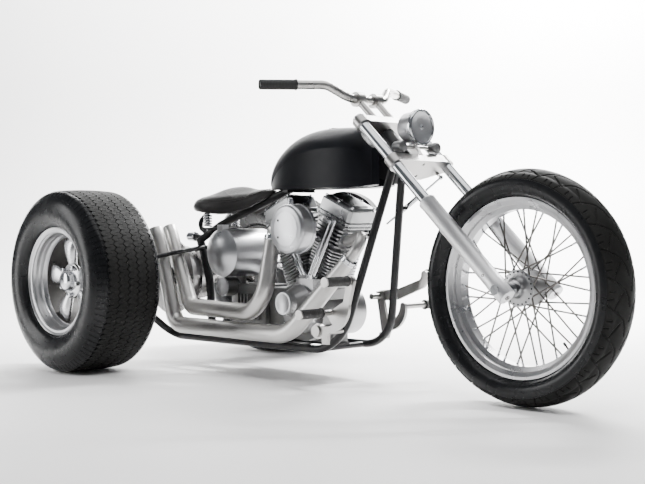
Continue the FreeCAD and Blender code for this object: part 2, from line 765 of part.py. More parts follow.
def foot_bracket_right():
    """Forged arm with its pivot, stub to the downtube and two peg cores."""
    y0, y1 = PLATE_Y
    arm = plate(y0, y1, (1190, 392), ((1212, 394), (1216, 374)), (1194, 300),
                ((1170, 236), (1110, 205)), (1092, 196), (1090, 160), (1064, 160), (1062, 190),
                ((1024, 184), (1020, 205)), ((1030, 226), (1062, 222)), ((1140, 246), (1168, 310)))
    parts = [arm, cyl_y(20, y0 - 4, y1 + 8, 1038, 203), seated_stub(1060, 200, y0 + 2)]
    for (x, z), reach in ((UPPER_PEG, 345), (LOWER_PEG, 372)):
        parts.append(cyl_y(PEG_CORE_R, y1 - 2, reach, x, z))
        parts.append(cyl_y(PEG_R, reach - 6, reach, x, z))
    parts.append(cyl_y(10, y1 - 2, 268, *LOWER_PEG))
    parts.append(plate(y0, y1, (1086, 262), (1150, 300), (1186, 316), (1160, 262), (1120, 225)))
    return mirrored(fused(*parts))


def foot_bracket_left():
    """Shift lever on its shaft, and the bent plate of the lower peg, on the left rail."""
    y0, y1 = LEFT_PLATE_Y
    lever = plate(y0, y1, (968, 284), (1066, 292), (1180, 337), ((1202, 352), (1208, 380)),
                  ((1194, 402), (1182, 388)), ((1177, 373), (1164, 366)), (1072, 334), (972, 322))
    lower = plate(y0, y1, (1002, 156), (1035, 180), ((1092, 216), (1106, 271)),
                  ((1093, 284), (1080, 270)), ((1072, 246), (1030, 214)), (1002, 190))
    carrier_plate = plate(y0 - 11, y0 + 1, (970, 320), (1000, 320), (1036, 172), (1026, 150),
                          (1004, 152), (996, 176))
    parts = [lever, lower, carrier_plate, cyl_y(11, 98, y1 + 5, 985, 303),
             seated_stub(1020, 165, y0)]
    for (x, z), reach in ((LEFT_UPPER_PEG, 274), (LEFT_LOWER_PEG, 372)):
        parts.append(cyl_y(PEG_CORE_R, y1 - 2, reach, x, z))
        parts.append(cyl_y(PEG_R, reach - 6, reach, x, z))
    parts.append(cyl_y(10.7, y1 - 2, 268, *LEFT_LOWER_PEG))
    return fused(*parts)


def peg(side, place, y0, y1):
    rubber = cyl_y(PEG_R, y0, y1, *place).cut(cyl_y(PEG_CORE_R + SEAT_FIT, y0 - 1, y1 + 1, *place))
    return mirrored(rubber) if side == RIGHT else rubber


# ---- fork and steering -------------------------------------------------------------------
def along_fork(radius, start, end, ahead=0.0, y=0.0):
    """A bar parallel to the fork, in fork coordinates."""
    return Part.makeCylinder(radius, end - start, V(ahead, y, start))


def fork_slider(side):
    """Lower leg with a square foot that takes the axle."""
    y = side * FORK_Y
    leg = along_fork(SLIDER_R, 30, SLIDER_TOP, 0, y)
    foot = Part.makeBox(56, 2 * SLIDER_R, 64, V(-28, y - SLIDER_R, -26))
    bore = along_fork(FORK_TUBE_R + SEAT_FIT, 60, SLIDER_TOP + 5, 0, y)
    whole = on_fork(fused(leg, foot).cut(bore))
    hole = cyl_y(FRONT_AXLE_R + SEAT_FIT, y - 40, y + 40, WHEELBASE, FRONT_TYRE_R)
    return whole.cut(hole)


def fork_tube(side):
    y = side * FORK_Y
    tube_body = along_fork(FORK_TUBE_R, 90, FORK_TOP, 0, y)
    cap = along_fork(FORK_TUBE_R + 1.5, UPPER_CLAMP[1] + 1, FORK_TOP - 6, 0, y)
    return on_fork(fused(tube_body, cap))


def clamp_holes(span):
    low, high = span
    return [along_fork(FORK_TUBE_R + SEAT_FIT, low - 5, high + 5, 0, side * FORK_Y)
            for side in (RIGHT, LEFT)]


def clamp_plate(span, front, rear, rear_half):
    """A clamp's block in fork coordinates: straight in front, deeper around the stem."""
    low, high = span
    ring = FORK_TUBE_R + CLAMP_RING
    points = [V(front, -FORK_Y, low), V(front, FORK_Y, low), V(-ring, FORK_Y, low),
              V(-rear, rear_half, low), V(-rear, -rear_half, low), V(-ring, -FORK_Y, low)]
    middle = Part.Face(Part.makePolygon(points + points[:1])).extrude(V(0, 0, high - low))
    ends = [along_fork(ring, low, high, 0, side * FORK_Y) for side in (RIGHT, LEFT)]
    return fused(middle, *ends)


def lower_clamp():
    """Deep billet clamp with the stem that turns in the neck, and the lamps' bracket."""
    block_body = clamp_plate(LOWER_CLAMP, 24, 60, 34)
    stem = along_fork(STEM_R, LOWER_CLAMP[1] - 10, UPPER_CLAMP[0], -NECK_OFFSET)
    eye = damper_eye_in_fork()
    stud = along_fork(6, eye[2] + DAMPER_BALL_R + STUD_GAP, LOWER_CLAMP[0] + 4, eye[0], eye[1])
    whole = fused(block_body, stem, stud)
    for hole in clamp_holes(LOWER_CLAMP):
        whole = whole.cut(hole)
    for ahead in (8, -44):
        hole = along_fork(5, LOWER_CLAMP[0] - 5, LOWER_CLAMP[0] + 14, ahead, 0)
        whole = whole.cut(hole)
    stay = plate(-10, 10, (1306, 790), (1318, 803), (1292, STAY_TOP), (1262, STAY_TOP), (1262, 832))
    arms = cyl_y(6, -MARKER_Y + 17.9, MARKER_Y - 17.9, MARKER_X - 18, MARKER_Z)
    return fused(on_fork(whole), stay, arms)


def upper_clamp():
    """Top clamp with the two risers and their bar clamps."""
    whole = clamp_plate(UPPER_CLAMP, 22, 46, 18)
    bar_along, bar_ahead = bar_in_fork()
    for side in (RIGHT, LEFT):
        riser = along_fork(RISER_R, UPPER_CLAMP[1] - 5, bar_along, bar_ahead, side * RISER_Y)
        head = cyl_y(BAR_R + 11, side * RISER_Y - 15, side * RISER_Y + 15, bar_ahead, bar_along)
        whole = fused(whole, riser, head)
    for hole in clamp_holes(UPPER_CLAMP):
        whole = whole.cut(hole)
    clear = cyl_y(BAR_R + SEAT_FIT, -90, 90, bar_ahead, bar_along)
    return on_fork(whole.cut(clear))


def bar_in_fork():
    """The bar's clamped centre as (along, ahead)."""
    angle = math.radians(RAKE)
    dx = BAR_AT[0] - WHEELBASE
    dz = BAR_AT[1] - FRONT_TYRE_R
    return (dz * math.cos(angle) - dx * math.sin(angle), dx * math.cos(angle) + dz * math.sin(angle))


def bar_points(side):
    return [V(BAR_END[0], side * BAR_END[1], BAR_END[2]),
            V(BAR_KNEE[0], side * BAR_KNEE[1], BAR_KNEE[2]),
            V(BAR_AT[0], side * 84, BAR_AT[1])]


def handlebar():
    return tube(bar_points(RIGHT) + bar_points(LEFT)[::-1], BAR_R, 80)


def grip(side):
    """Rubber sleeve over the bar's end, closed outside."""
    end, knee = bar_points(side)[:2]
    along = (knee - end).normalize()
    sleeve = rod(end - along * 4, end + along * GRIP_LENGTH, GRIP_R)
    return sleeve.cut(rod(end, end + along * (GRIP_LENGTH + 5), BAR_R + SEAT_FIT))


STAY_TOP = 838.0
MARKER_X = 1306.0
MARKER_Y = 86.0
MARKER_Z = 829.0
LAMP_X = 1322.0
LAMP_Z = 896.0
LAMP_R = 61.5


def headlamp_shell():
    """Bowl with a rim; the open front takes the lens."""
    shell = spun((0, -92), dome(52, -62, -92, True), (LAMP_R - 4, -18), (LAMP_R, -14), (LAMP_R, 0),
                 (54, 0), (54, -8), (0, -8))
    shell.rotate(ORIGIN, Z_AXIS, -90)
    shell.translate(V(LAMP_X, 0, LAMP_Z))
    boss = Part.makeCylinder(11, 20, V(LAMP_X - 46, 0, STAY_TOP))
    return fused(shell, boss)


def headlamp_lens():
    lens = spun((0, -7.5), (53.5, -7.5), (53.5, -2), dome(53.5, -2, 6))
    lens.rotate(ORIGIN, Z_AXIS, -90)
    lens.translate(V(LAMP_X, 0, LAMP_Z))
    return lens


def marker_lamp(side):
    """Small bullet lamp, its glass to the front."""
    lamp = spun((0, -38), dome(17, -20, -38, True), (19, 0), (19, 8), (16, 12), (0, 14))
    lamp.rotate(ORIGIN, Z_AXIS, -90)
    lamp.translate(V(MARKER_X, side * MARKER_Y, MARKER_Z))
    return lamp


# ---- steering damper ---------------------------------------------------------------------
DAMPER_EYE = V(1319, 100, 728)
DAMPER_TAIL = V(1094, 68, 569)
DAMPER_PIVOT = 0.60
FORK_LINE = V(-math.sin(math.radians(RAKE)), 0, math.cos(math.radians(RAKE)))
DAMPER_BALL_R = 8.0
STUD_GAP = 4.0


def damper_point(share):
    return DAMPER_EYE + (DAMPER_TAIL - DAMPER_EYE) * share


def damper_eye_in_fork():
    """The eye as (ahead, y, along)."""
    angle = math.radians(RAKE)
    dx = DAMPER_EYE.x - WHEELBASE
    dz = DAMPER_EYE.z - FRONT_TYRE_R
    return (dx * math.cos(angle) + dz * math.sin(angle), DAMPER_EYE.y,
            dz * math.cos(angle) - dx * math.sin(angle))


def damper_axis():
    """The axis that the cylinder swings on, so that the eye follows its stud in steering."""
    along = (DAMPER_EYE - DAMPER_TAIL).normalize()
    travel = FORK_LINE.cross(Y_AXIS)
    sideways = travel - along * travel.dot(along)
    return along.cross(sideways).normalize()


def damper_body():
    """Cylinder with the boss that it swings on."""
    outer = rod(damper_point(0.42), damper_point(0.78), 9)
    pivot = damper_point(DAMPER_PIVOT)
    boss = rod(pivot - damper_axis() * 13, pivot + damper_axis() * 11, 7)
    return fused(outer, boss).cut(rod(damper_point(0.3), damper_point(0.9), 4 + RUNNING_FIT))


def damper_lug():
    """Lug on the left downtube that faces the cylinder's boss."""
    pivot = damper_point(DAMPER_PIVOT)
    pad = rod(pivot - damper_axis() * 25, pivot - damper_axis() * 13.3, 7)
    return pad.fuse(rod(pivot - damper_axis() * 20, V(1176, 47, 622), 6))


def damper_rod():
    return fused(rod(damper_point(0), damper_point(1), 4),
                 Part.makeSphere(DAMPER_BALL_R, DAMPER_EYE))


PIECES = {
    "front_tyre": front_tyre, "front_rim": front_rim, "front_hub": front_hub,
    "front_axle": front_axle, "frame_backbone": frame_backbone,
    "axle_housing": axle_housing, "brake_disc": brake_disc,
    "drive_chain": drive_chain, "crankcase": crankcase, "timing_cover": timing_cover,
    "intake": intake, "air_cleaner": air_cleaner, "primary_cover": primary_cover,
    "gearbox": gearbox, "horn_cover": horn_cover, "exhaust_front": exhaust_front,
    "exhaust_rear": exhaust_rear, "fuel_tank": fuel_tank, "tank_cap": tank_cap, "seat": seat,
    "oil_tank": oil_tank, "tail_lamp": tail_lamp, "lower_clamp": lower_clamp,
    "upper_clamp": upper_clamp, "handlebar": handlebar, "headlamp_shell": headlamp_shell,
    "headlamp_lens": headlamp_lens, "damper_body": damper_body,
    "damper_rod": damper_rod, "foot_bracket_right": foot_bracket_right,
    "foot_bracket_left": foot_bracket_left,
}
PAIRS = {
    "rear_tyre": rear_tyre, "rear_wheel": rear_wheel, "frame_cradle": frame_cradle,
    "seat_spring": seat_spring,
    "fork_slider": fork_slider, "fork_tube": fork_tube, "grip": grip, "marker_lamp": marker_lamp,
}


def main():
    for name, build in PIECES.items():
        write(name, build())
    for name, build in PAIRS.items():
        for side, word in ((RIGHT, "right"), (LEFT, "left")):
            write(name + "_" + word, build(side))
    for lean, word in ((1, "front"), (-1, "rear")):
        write("cylinder_" + word, cylinder(lean))
        write("rocker_box_" + word, rocker_box(lean))
        write("pushrods_" + word, pushrod_tubes(lean))
    write("peg_upper_right", peg(RIGHT, UPPER_PEG, 238, 339))
    write("peg_lower_right", peg(RIGHT, LOWER_PEG, 268, 366))
    write("peg_upper_left", peg(LEFT, LEFT_UPPER_PEG, 168, 268))
    write("peg_lower_left", peg(LEFT, LEFT_LOWER_PEG, 268, 366))


main()
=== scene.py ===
"""Looks of the motorized trike: tyres, wheels, saddle, engine trim, lamps and studio.

Lengths in the tables below are millimetres, with X measured forward from the rear axle,
Y to the rider's left and Z up from the floor. place() turns them into metres of the frame.
"""

import json
import logging
import math
from dataclasses import dataclass
from enum import Enum
from typing import Iterable, Sequence

import bmesh
import bpy
from mathutils import Matrix, Vector

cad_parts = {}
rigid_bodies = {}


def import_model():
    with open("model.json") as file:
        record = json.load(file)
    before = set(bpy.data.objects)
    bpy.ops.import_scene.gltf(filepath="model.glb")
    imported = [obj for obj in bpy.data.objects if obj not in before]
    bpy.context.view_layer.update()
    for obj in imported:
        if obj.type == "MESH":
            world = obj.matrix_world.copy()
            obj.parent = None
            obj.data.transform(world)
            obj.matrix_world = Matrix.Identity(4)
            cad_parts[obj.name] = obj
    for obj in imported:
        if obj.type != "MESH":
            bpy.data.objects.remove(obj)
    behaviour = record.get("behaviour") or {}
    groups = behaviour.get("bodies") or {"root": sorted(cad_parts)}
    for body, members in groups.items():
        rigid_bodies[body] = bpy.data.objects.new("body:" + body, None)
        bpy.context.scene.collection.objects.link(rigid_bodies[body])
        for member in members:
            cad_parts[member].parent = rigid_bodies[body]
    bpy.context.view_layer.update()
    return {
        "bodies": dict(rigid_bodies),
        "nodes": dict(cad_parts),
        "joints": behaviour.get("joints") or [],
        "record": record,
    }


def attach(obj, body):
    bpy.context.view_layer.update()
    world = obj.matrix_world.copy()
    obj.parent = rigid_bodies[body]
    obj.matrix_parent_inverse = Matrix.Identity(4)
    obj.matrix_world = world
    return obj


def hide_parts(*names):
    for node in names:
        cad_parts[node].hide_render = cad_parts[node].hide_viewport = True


LOG = logging.getLogger("trike")
Point = tuple[float, float, float]
Pair = tuple[float, float]
Profile = tuple[Pair, ...]
SIDES = ((-1, "right"), (1, "left"))

MM = 0.001
# Metres from the rear axle forward to the frame's origin.
CENTRE_X = 0.88275
# Millimetres from here on.
WHEELBASE = 1748.0
FRONT_R = 370.5
REAR_R = 353.0
REAR_Y = 508.0
FORK_Y = 126.0
RAKE = math.radians(47.2)


def place(x: float, y: float, z: float) -> Vector:
    """A point of the frame, in metres.

    Args:
        x: Forward from the rear axle, in millimetres.
        y: To the rider's left, in millimetres.
        z: Up from the floor, in millimetres.

    Returns:
        The point in the frame.
    """
    return Vector((x * MM - CENTRE_X, y * MM, z * MM))


def fork_place(ahead: float, y: float, along: float) -> Vector:
    """A point given along the fork from the front axle.

    Args:
        ahead: Square to the fork, forward.
        y: To the left.
        along: Up the fork.

    Returns:
        The point in the frame.
    """
    x = WHEELBASE + ahead * math.cos(RAKE) - along * math.sin(RAKE)
    z = FRONT_R + ahead * math.sin(RAKE) + along * math.cos(RAKE)
    return place(x, y, z)


UP_FORK = Vector((-math.sin(RAKE), 0.0, math.cos(RAKE)))
AHEAD = Vector((math.cos(RAKE), 0.0, math.sin(RAKE)))
AXIS_Y = Vector((0.0, 1.0, 0.0))
AXIS_Z = Vector((0.0, 0.0, 1.0))


def arc(a: Pair, middle: Pair, b: Pair, count: int) -> list[Pair]:
    """Points of the arc from a through middle to b, without a itself.

    Args:
        a: Start.
        middle: A point between.
        b: End.
        count: How many points.

    Returns:
        The points.
    """
    (x1, y1), (x2, y2), (x3, y3) = a, middle, b
    d = 2 * (x1 * (y2 - y3) + x2 * (y3 - y1) + x3 * (y1 - y2))
    s1, s2, s3 = x1 * x1 + y1 * y1, x2 * x2 + y2 * y2, x3 * x3 + y3 * y3
    cx = (s1 * (y2 - y3) + s2 * (y3 - y1) + s3 * (y1 - y2)) / d
    cy = (s1 * (x3 - x2) + s2 * (x1 - x3) + s3 * (x2 - x1)) / d
    radius = math.hypot(x1 - cx, y1 - cy)
    first, last = math.atan2(y1 - cy, x1 - cx), math.atan2(y3 - cy, x3 - cx)
    via = math.atan2(y2 - cy, x2 - cx)
    sweep = (last - first) % (2 * math.pi)
    if (via - first) % (2 * math.pi) > sweep:
        sweep -= 2 * math.pi
    angles = [first + sweep * (i + 1) / count for i in range(count)]
    return [(cx + radius * math.cos(t), cy + radius * math.sin(t)) for t in angles]


def read_table(table: Sequence[Pair], x: float) -> float:
    """A value read from a table of pairs, with straight lines between them.

    Args:
        table: Pairs of a place and its value, in order.
        x: The place to read at.

    Returns:
        The value there.
    """
    for (x0, v0), (x1, v1) in zip(table, table[1:]):
        if x <= x1:
            return v0 + (v1 - v0) * max(0.0, x - x0) / (x1 - x0)
    return table[-1][1]


class Grain(Enum):
    """What a surface's fine texture is like."""

    CAST = "cast"
    TURNED = "turned"
    SMOOTH = "smooth"
    RUBBER = "rubber"
    LEATHER = "leather"
    WOVEN = "woven"


@dataclass(frozen=True)
class Finish:
    """One procedural finish.

    Attributes:
        name: The material's name.
        colour: Base colour.
        metallic: 1 for bare metal.
        roughness: Middle of the roughness.
        spread: How far the roughness wanders.
        grain: The fine texture.
        scale: Size of the fine texture, in repeats per metre.
        bump: Strength of the fine texture.
        stain: Share by which the colour darkens in its patches.
        centre: Where a turned pattern has its axis.
        shine: How strongly a bare surface that is not metal reflects.
    """

    name: str
    colour: Point
    metallic: float = 0.0
    roughness: float = 0.4
    spread: float = 0.1
    grain: Grain = Grain.SMOOTH
    scale: float = 400.0
    bump: float = 0.1
    stain: float = 0.25
    centre: Point = (0.0, 0.0, 0.0)
    shine: float = 0.5

    def material(self) -> bpy.types.Material:
        """Builds the material once, and gives it again when asked.

        Returns:
            The material.
        """
        made = bpy.data.materials.get(self.name)
        if made is not None:
            return made
        made = bpy.data.materials.new(self.name)
        made.use_nodes = True
        tree = made.node_tree
        shader = tree.nodes["Principled BSDF"]
        shader.inputs["Metallic"].default_value = self.metallic
        shader.inputs["Specular IOR Level"].default_value = self.shine
        coords = tree.nodes.new("ShaderNodeTexCoord")
        mapping = tree.nodes.new("ShaderNodeMapping")
        mapping.inputs["Location"].default_value = [-c for c in self.centre]
        tree.links.new(coords.outputs["Object"], mapping.inputs["Vector"])
        patches = self._noise(tree, mapping.outputs[0], 9.0, 5.0)
        self._colour(tree, shader, patches)
        self._roughness(tree, shader, mapping.outputs[0])
        height = self._height(tree, mapping.outputs[0])
        bump = tree.nodes.new("ShaderNodeBump")
        bump.inputs["Strength"].default_value = self.bump
        bump.inputs["Distance"].default_value = 0.0008
        tree.links.new(height, bump.inputs["Height"])
        tree.links.new(bump.outputs[0], shader.inputs["Normal"])
        return made

    @staticmethod
    def _noise(tree: bpy.types.NodeTree, vector: bpy.types.NodeSocket, scale: float,
               detail: float) -> bpy.types.NodeSocket:
        """A noise texture's value.

        Args:
            tree: The node tree.
            vector: Where the coordinates come from.
            scale: Repeats per metre.
            detail: Octaves.

        Returns:
            The socket with the value.
        """
        node = tree.nodes.new("ShaderNodeTexNoise")
        node.inputs["Scale"].default_value = scale
        node.inputs["Detail"].default_value = detail
        tree.links.new(vector, node.inputs["Vector"])
        return node.outputs["Fac"]

    @staticmethod
    def _ramp(tree: bpy.types.NodeTree, value: bpy.types.NodeSocket, low: Point, high: Point,
              ends: Pair = (0.3, 0.7)) -> bpy.types.NodeSocket:
        """A colour ramp between two colours.

        Args:
            tree: The node tree.
            value: What it follows.
            low: Colour at the lower end.
            high: Colour at the upper end.
            ends: Where the two ends lie.

        Returns:
            The socket with the colour.
        """
        ramp = tree.nodes.new("ShaderNodeValToRGB")
        for stop, where, colour in zip(ramp.color_ramp.elements, ends, (low, high)):
            stop.position = where
            stop.color = (*colour, 1.0)
        tree.links.new(value, ramp.inputs[0])
        return ramp.outputs[0]

    def _colour(self, tree: bpy.types.NodeTree, shader: bpy.types.Node,
                patches: bpy.types.NodeSocket) -> None:
        """Colour with soft darker patches.

        Args:
            tree: The node tree.
            shader: The surface shader.
            patches: The noise that the patches follow.
        """
        dark = tuple(c * (1.0 - self.stain) for c in self.colour)
        tree.links.new(self._ramp(tree, patches, dark, self.colour), shader.inputs["Base Color"])

    def _roughness(self, tree: bpy.types.NodeTree, shader: bpy.types.Node,
                   vector: bpy.types.NodeSocket) -> None:
        """Roughness that wanders, as handling and polishing leave it.

        Args:
            tree: The node tree.
            shader: The surface shader.
            vector: The coordinates.
        """
        value = self._noise(tree, vector, 18.0, 2.0)
        span = tree.nodes.new("ShaderNodeMapRange")
        span.inputs["From Min"].default_value = 0.3
        span.inputs["From Max"].default_value = 0.7
        span.inputs["To Min"].default_value = max(0.02, self.roughness - self.spread)
        span.inputs["To Max"].default_value = self.roughness + self.spread
        tree.links.new(value, span.inputs["Value"])
        tree.links.new(span.outputs[0], shader.inputs["Roughness"])

    def _height(self, tree: bpy.types.NodeTree,
                vector: bpy.types.NodeSocket) -> bpy.types.NodeSocket:
        """The height that the fine texture has.

        Args:
            tree: The node tree.
            vector: The coordinates.

        Returns:
            The socket with the height.
        """
        if self.grain is Grain.TURNED:
            wave = tree.nodes.new("ShaderNodeTexWave")
            wave.wave_type = "RINGS"
            wave.rings_direction = "Y"
            wave.inputs["Scale"].default_value = self.scale
            wave.inputs["Distortion"].default_value = 1.5
            wave.inputs["Detail"].default_value = 3.0
            tree.links.new(vector, wave.inputs["Vector"])
            return wave.outputs["Fac"]
        if self.grain is Grain.LEATHER:
            cells = tree.nodes.new("ShaderNodeTexVoronoi")
            cells.inputs["Scale"].default_value = self.scale
            tree.links.new(vector, cells.inputs["Vector"])
            return cells.outputs["Distance"]
        if self.grain is Grain.WOVEN:
            check = tree.nodes.new("ShaderNodeTexChecker")
            check.inputs["Scale"].default_value = self.scale
            turned = tree.nodes.new("ShaderNodeMapping")
            turned.inputs["Rotation"].default_value = (0.0, 0.0, math.radians(45))
            tree.links.new(vector, turned.inputs["Vector"])
            tree.links.new(turned.outputs[0], check.inputs["Vector"])
            return check.outputs["Fac"]
        detail = 8.0 if self.grain in (Grain.CAST, Grain.RUBBER) else 2.0
        return self._noise(tree, vector, self.scale, detail)


FRONT_AXLE = tuple(place(WHEELBASE, 0, FRONT_R))
REAR_AXLE = tuple(place(0, 0, REAR_R))

CAST = Finish("cast_alloy", (0.46, 0.46, 0.465), 1.0, 0.36, 0.08, Grain.CAST, 900, 0.04)
DULL_CAST = Finish("dull_cast_alloy", (0.30, 0.30, 0.30), 1.0, 0.44, 0.1, Grain.CAST, 700, 0.08)
BRUSHED_ALLOY = Finish("brushed_alloy", (0.56, 0.565, 0.58), 1.0, 0.32, 0.05, Grain.SMOOTH,
                       300, 0.015, 0.08)
MACHINED = Finish("machined_alloy", (0.44, 0.43, 0.42), 1.0, 0.34, 0.05, Grain.SMOOTH, 300,
                  0.02, 0.06)
SLIDER_ALLOY = Finish("satin_slider_alloy", (0.93, 0.93, 0.94), 1.0, 0.46, 0.05, Grain.SMOOTH,
                      500, 0.02, 0.04)
FRONT_RIM_ALLOY = Finish("turned_front_rim", (0.60, 0.60, 0.61), 1.0, 0.30, 0.05, Grain.TURNED,
                         160, 0.02, 0.08, centre=FRONT_AXLE)
REAR_RIM_ALLOY = Finish("turned_rear_rim", (0.60, 0.60, 0.61), 1.0, 0.33, 0.06, Grain.TURNED,
                        160, 0.02, 0.10, centre=REAR_AXLE)
REAR_SPOKE_ALLOY = Finish("polished_spoke_alloy", (0.66, 0.66, 0.67), 1.0, 0.28, 0.05,
                          Grain.SMOOTH, 300, 0.01, 0.06)
ROCKER_ALLOY = Finish("rocker_alloy", (0.40, 0.405, 0.41), 1.0, 0.30, 0.05, Grain.SMOOTH, 300,
                      0.01, 0.06)
# Dark finish that is painted shade: it darkens the rear rims' inner barrels behind the spokes and
# the air cleaner's screws, where there is only shade.
PAINTED_SHADE_DARK = Finish("painted_shade_finish", (0.05, 0.047, 0.044), 0.3, 0.6, 0.1, Grain.CAST, 300,
                     0.1)
SPOKE_STEEL = Finish("spoke_steel", (0.17, 0.16, 0.15), 1.0, 0.36, 0.08, Grain.SMOOTH, 600, 0.02)
PIPE_STEEL = Finish("warm_pipe_steel", (0.62, 0.61, 0.595), 1.0, 0.40, 0.03, Grain.SMOOTH, 200,
                    0.01, 0.08)
BAR_STEEL = Finish("brushed_bar_steel", (0.60, 0.585, 0.565), 1.0, 0.28, 0.05, Grain.SMOOTH, 300,
                   0.01, 0.10)
STEEL = Finish("plain_steel", (0.38, 0.375, 0.37), 1.0, 0.32, 0.1, Grain.SMOOTH, 500, 0.05)
CHROME = Finish("chrome_plate", (0.68, 0.69, 0.71), 1.0, 0.12, 0.04, Grain.SMOOTH, 300, 0.006,
                0.05)
CHAIN_STEEL = Finish("oiled_chain", (0.12, 0.115, 0.11), 1.0, 0.38, 0.12, Grain.SMOOTH, 500, 0.1)
FRAME_PAINT = Finish("black_frame_paint", (0.009, 0.009, 0.010), 0.0, 0.34, 0.04, Grain.SMOOTH,
                     300, 0.01, 0.2, shine=0.3)
TANK_PAINT = Finish("satin_black_tank", (0.008, 0.0085, 0.0105), 0.0, 0.33, 0.03, Grain.SMOOTH,
                    900, 0.012, 0.15, shine=0.08)
TREAD_RUBBER = Finish("tread_rubber", (0.016, 0.016, 0.0155), 0.0, 0.55, 0.06, Grain.RUBBER,
                      700, 0.25, 0.3, shine=0.08)
WALL_RUBBER = Finish("sidewall_rubber", (0.0075, 0.008, 0.009), 0.0, 0.28, 0.05, Grain.RUBBER,
                     500, 0.03, 0.3, shine=0.25)
GRIP_RUBBER = Finish("grip_rubber", (0.022, 0.022, 0.022), 0.0, 0.58, 0.1, Grain.RUBBER, 900, 0.3)
LEATHER = Finish("black_leather", (0.018, 0.017, 0.017), 0.0, 0.42, 0.06, Grain.LEATHER, 650,
                 0.28, 0.3, shine=0.25)
WEAVE = Finish("woven_leather", (0.05, 0.047, 0.045), 0.0, 0.5, 0.06, Grain.WOVEN, 75, 3.0, 0.4)
THREAD = Finish("seat_thread", (0.06, 0.055, 0.05), 0.0, 0.6, 0.08, Grain.SMOOTH, 900, 0.2)
REFLECTOR = Finish("lamp_reflector", (0.85, 0.86, 0.88), 1.0, 0.34, 0.06, Grain.SMOOTH, 200, 0.2,
                   0.05)
# Painted shadow for holes that are not cut, laid on thin dark discs.
PAINTED_HOLE_SHADOW = Finish("hole_shadow", (0.01, 0.01, 0.01), 0.0, 0.6, 0.1, Grain.SMOOTH, 400, 0.05)

NODE_FINISHES: dict[str, Finish] = {
    "front_rim": FRONT_RIM_ALLOY, "front_hub": CAST, "front_axle": CHROME,
    "frame": FRAME_PAINT, "axle_housing": STEEL, "brake_disc": STEEL, "cylinder": CAST,
    "rocker": BRUSHED_ALLOY, "timing": CAST, "crankcase": DULL_CAST, "intake": DULL_CAST,
    "air_cleaner": BRUSHED_ALLOY, "primary": CAST, "gearbox": DULL_CAST,
    "horn_cover": TANK_PAINT, "exhaust": PIPE_STEEL, "fuel_tank": TANK_PAINT,
    "tank_cap": CHROME, "oil_tank": BRUSHED_ALLOY, "tail_lamp": CHROME, "lower_clamp": MACHINED,
    "upper_clamp": MACHINED, "handlebar": BAR_STEEL, "headlamp_shell": BRUSHED_ALLOY,
    "marker": DULL_CAST, "damper": CHROME, "foot_bracket": MACHINED, "fork_slider": SLIDER_ALLOY,
    "fork_tube": CHROME, "pushrods": CHROME, "drive_chain": CHAIN_STEEL, "grip": GRIP_RUBBER,
    "peg": GRIP_RUBBER, "seat_spring": CHROME, "seat": LEATHER, "rear_wheel": REAR_RIM_ALLOY,
    "front_tyre": WALL_RUBBER, "rear_tyre": WALL_RUBBER,
}


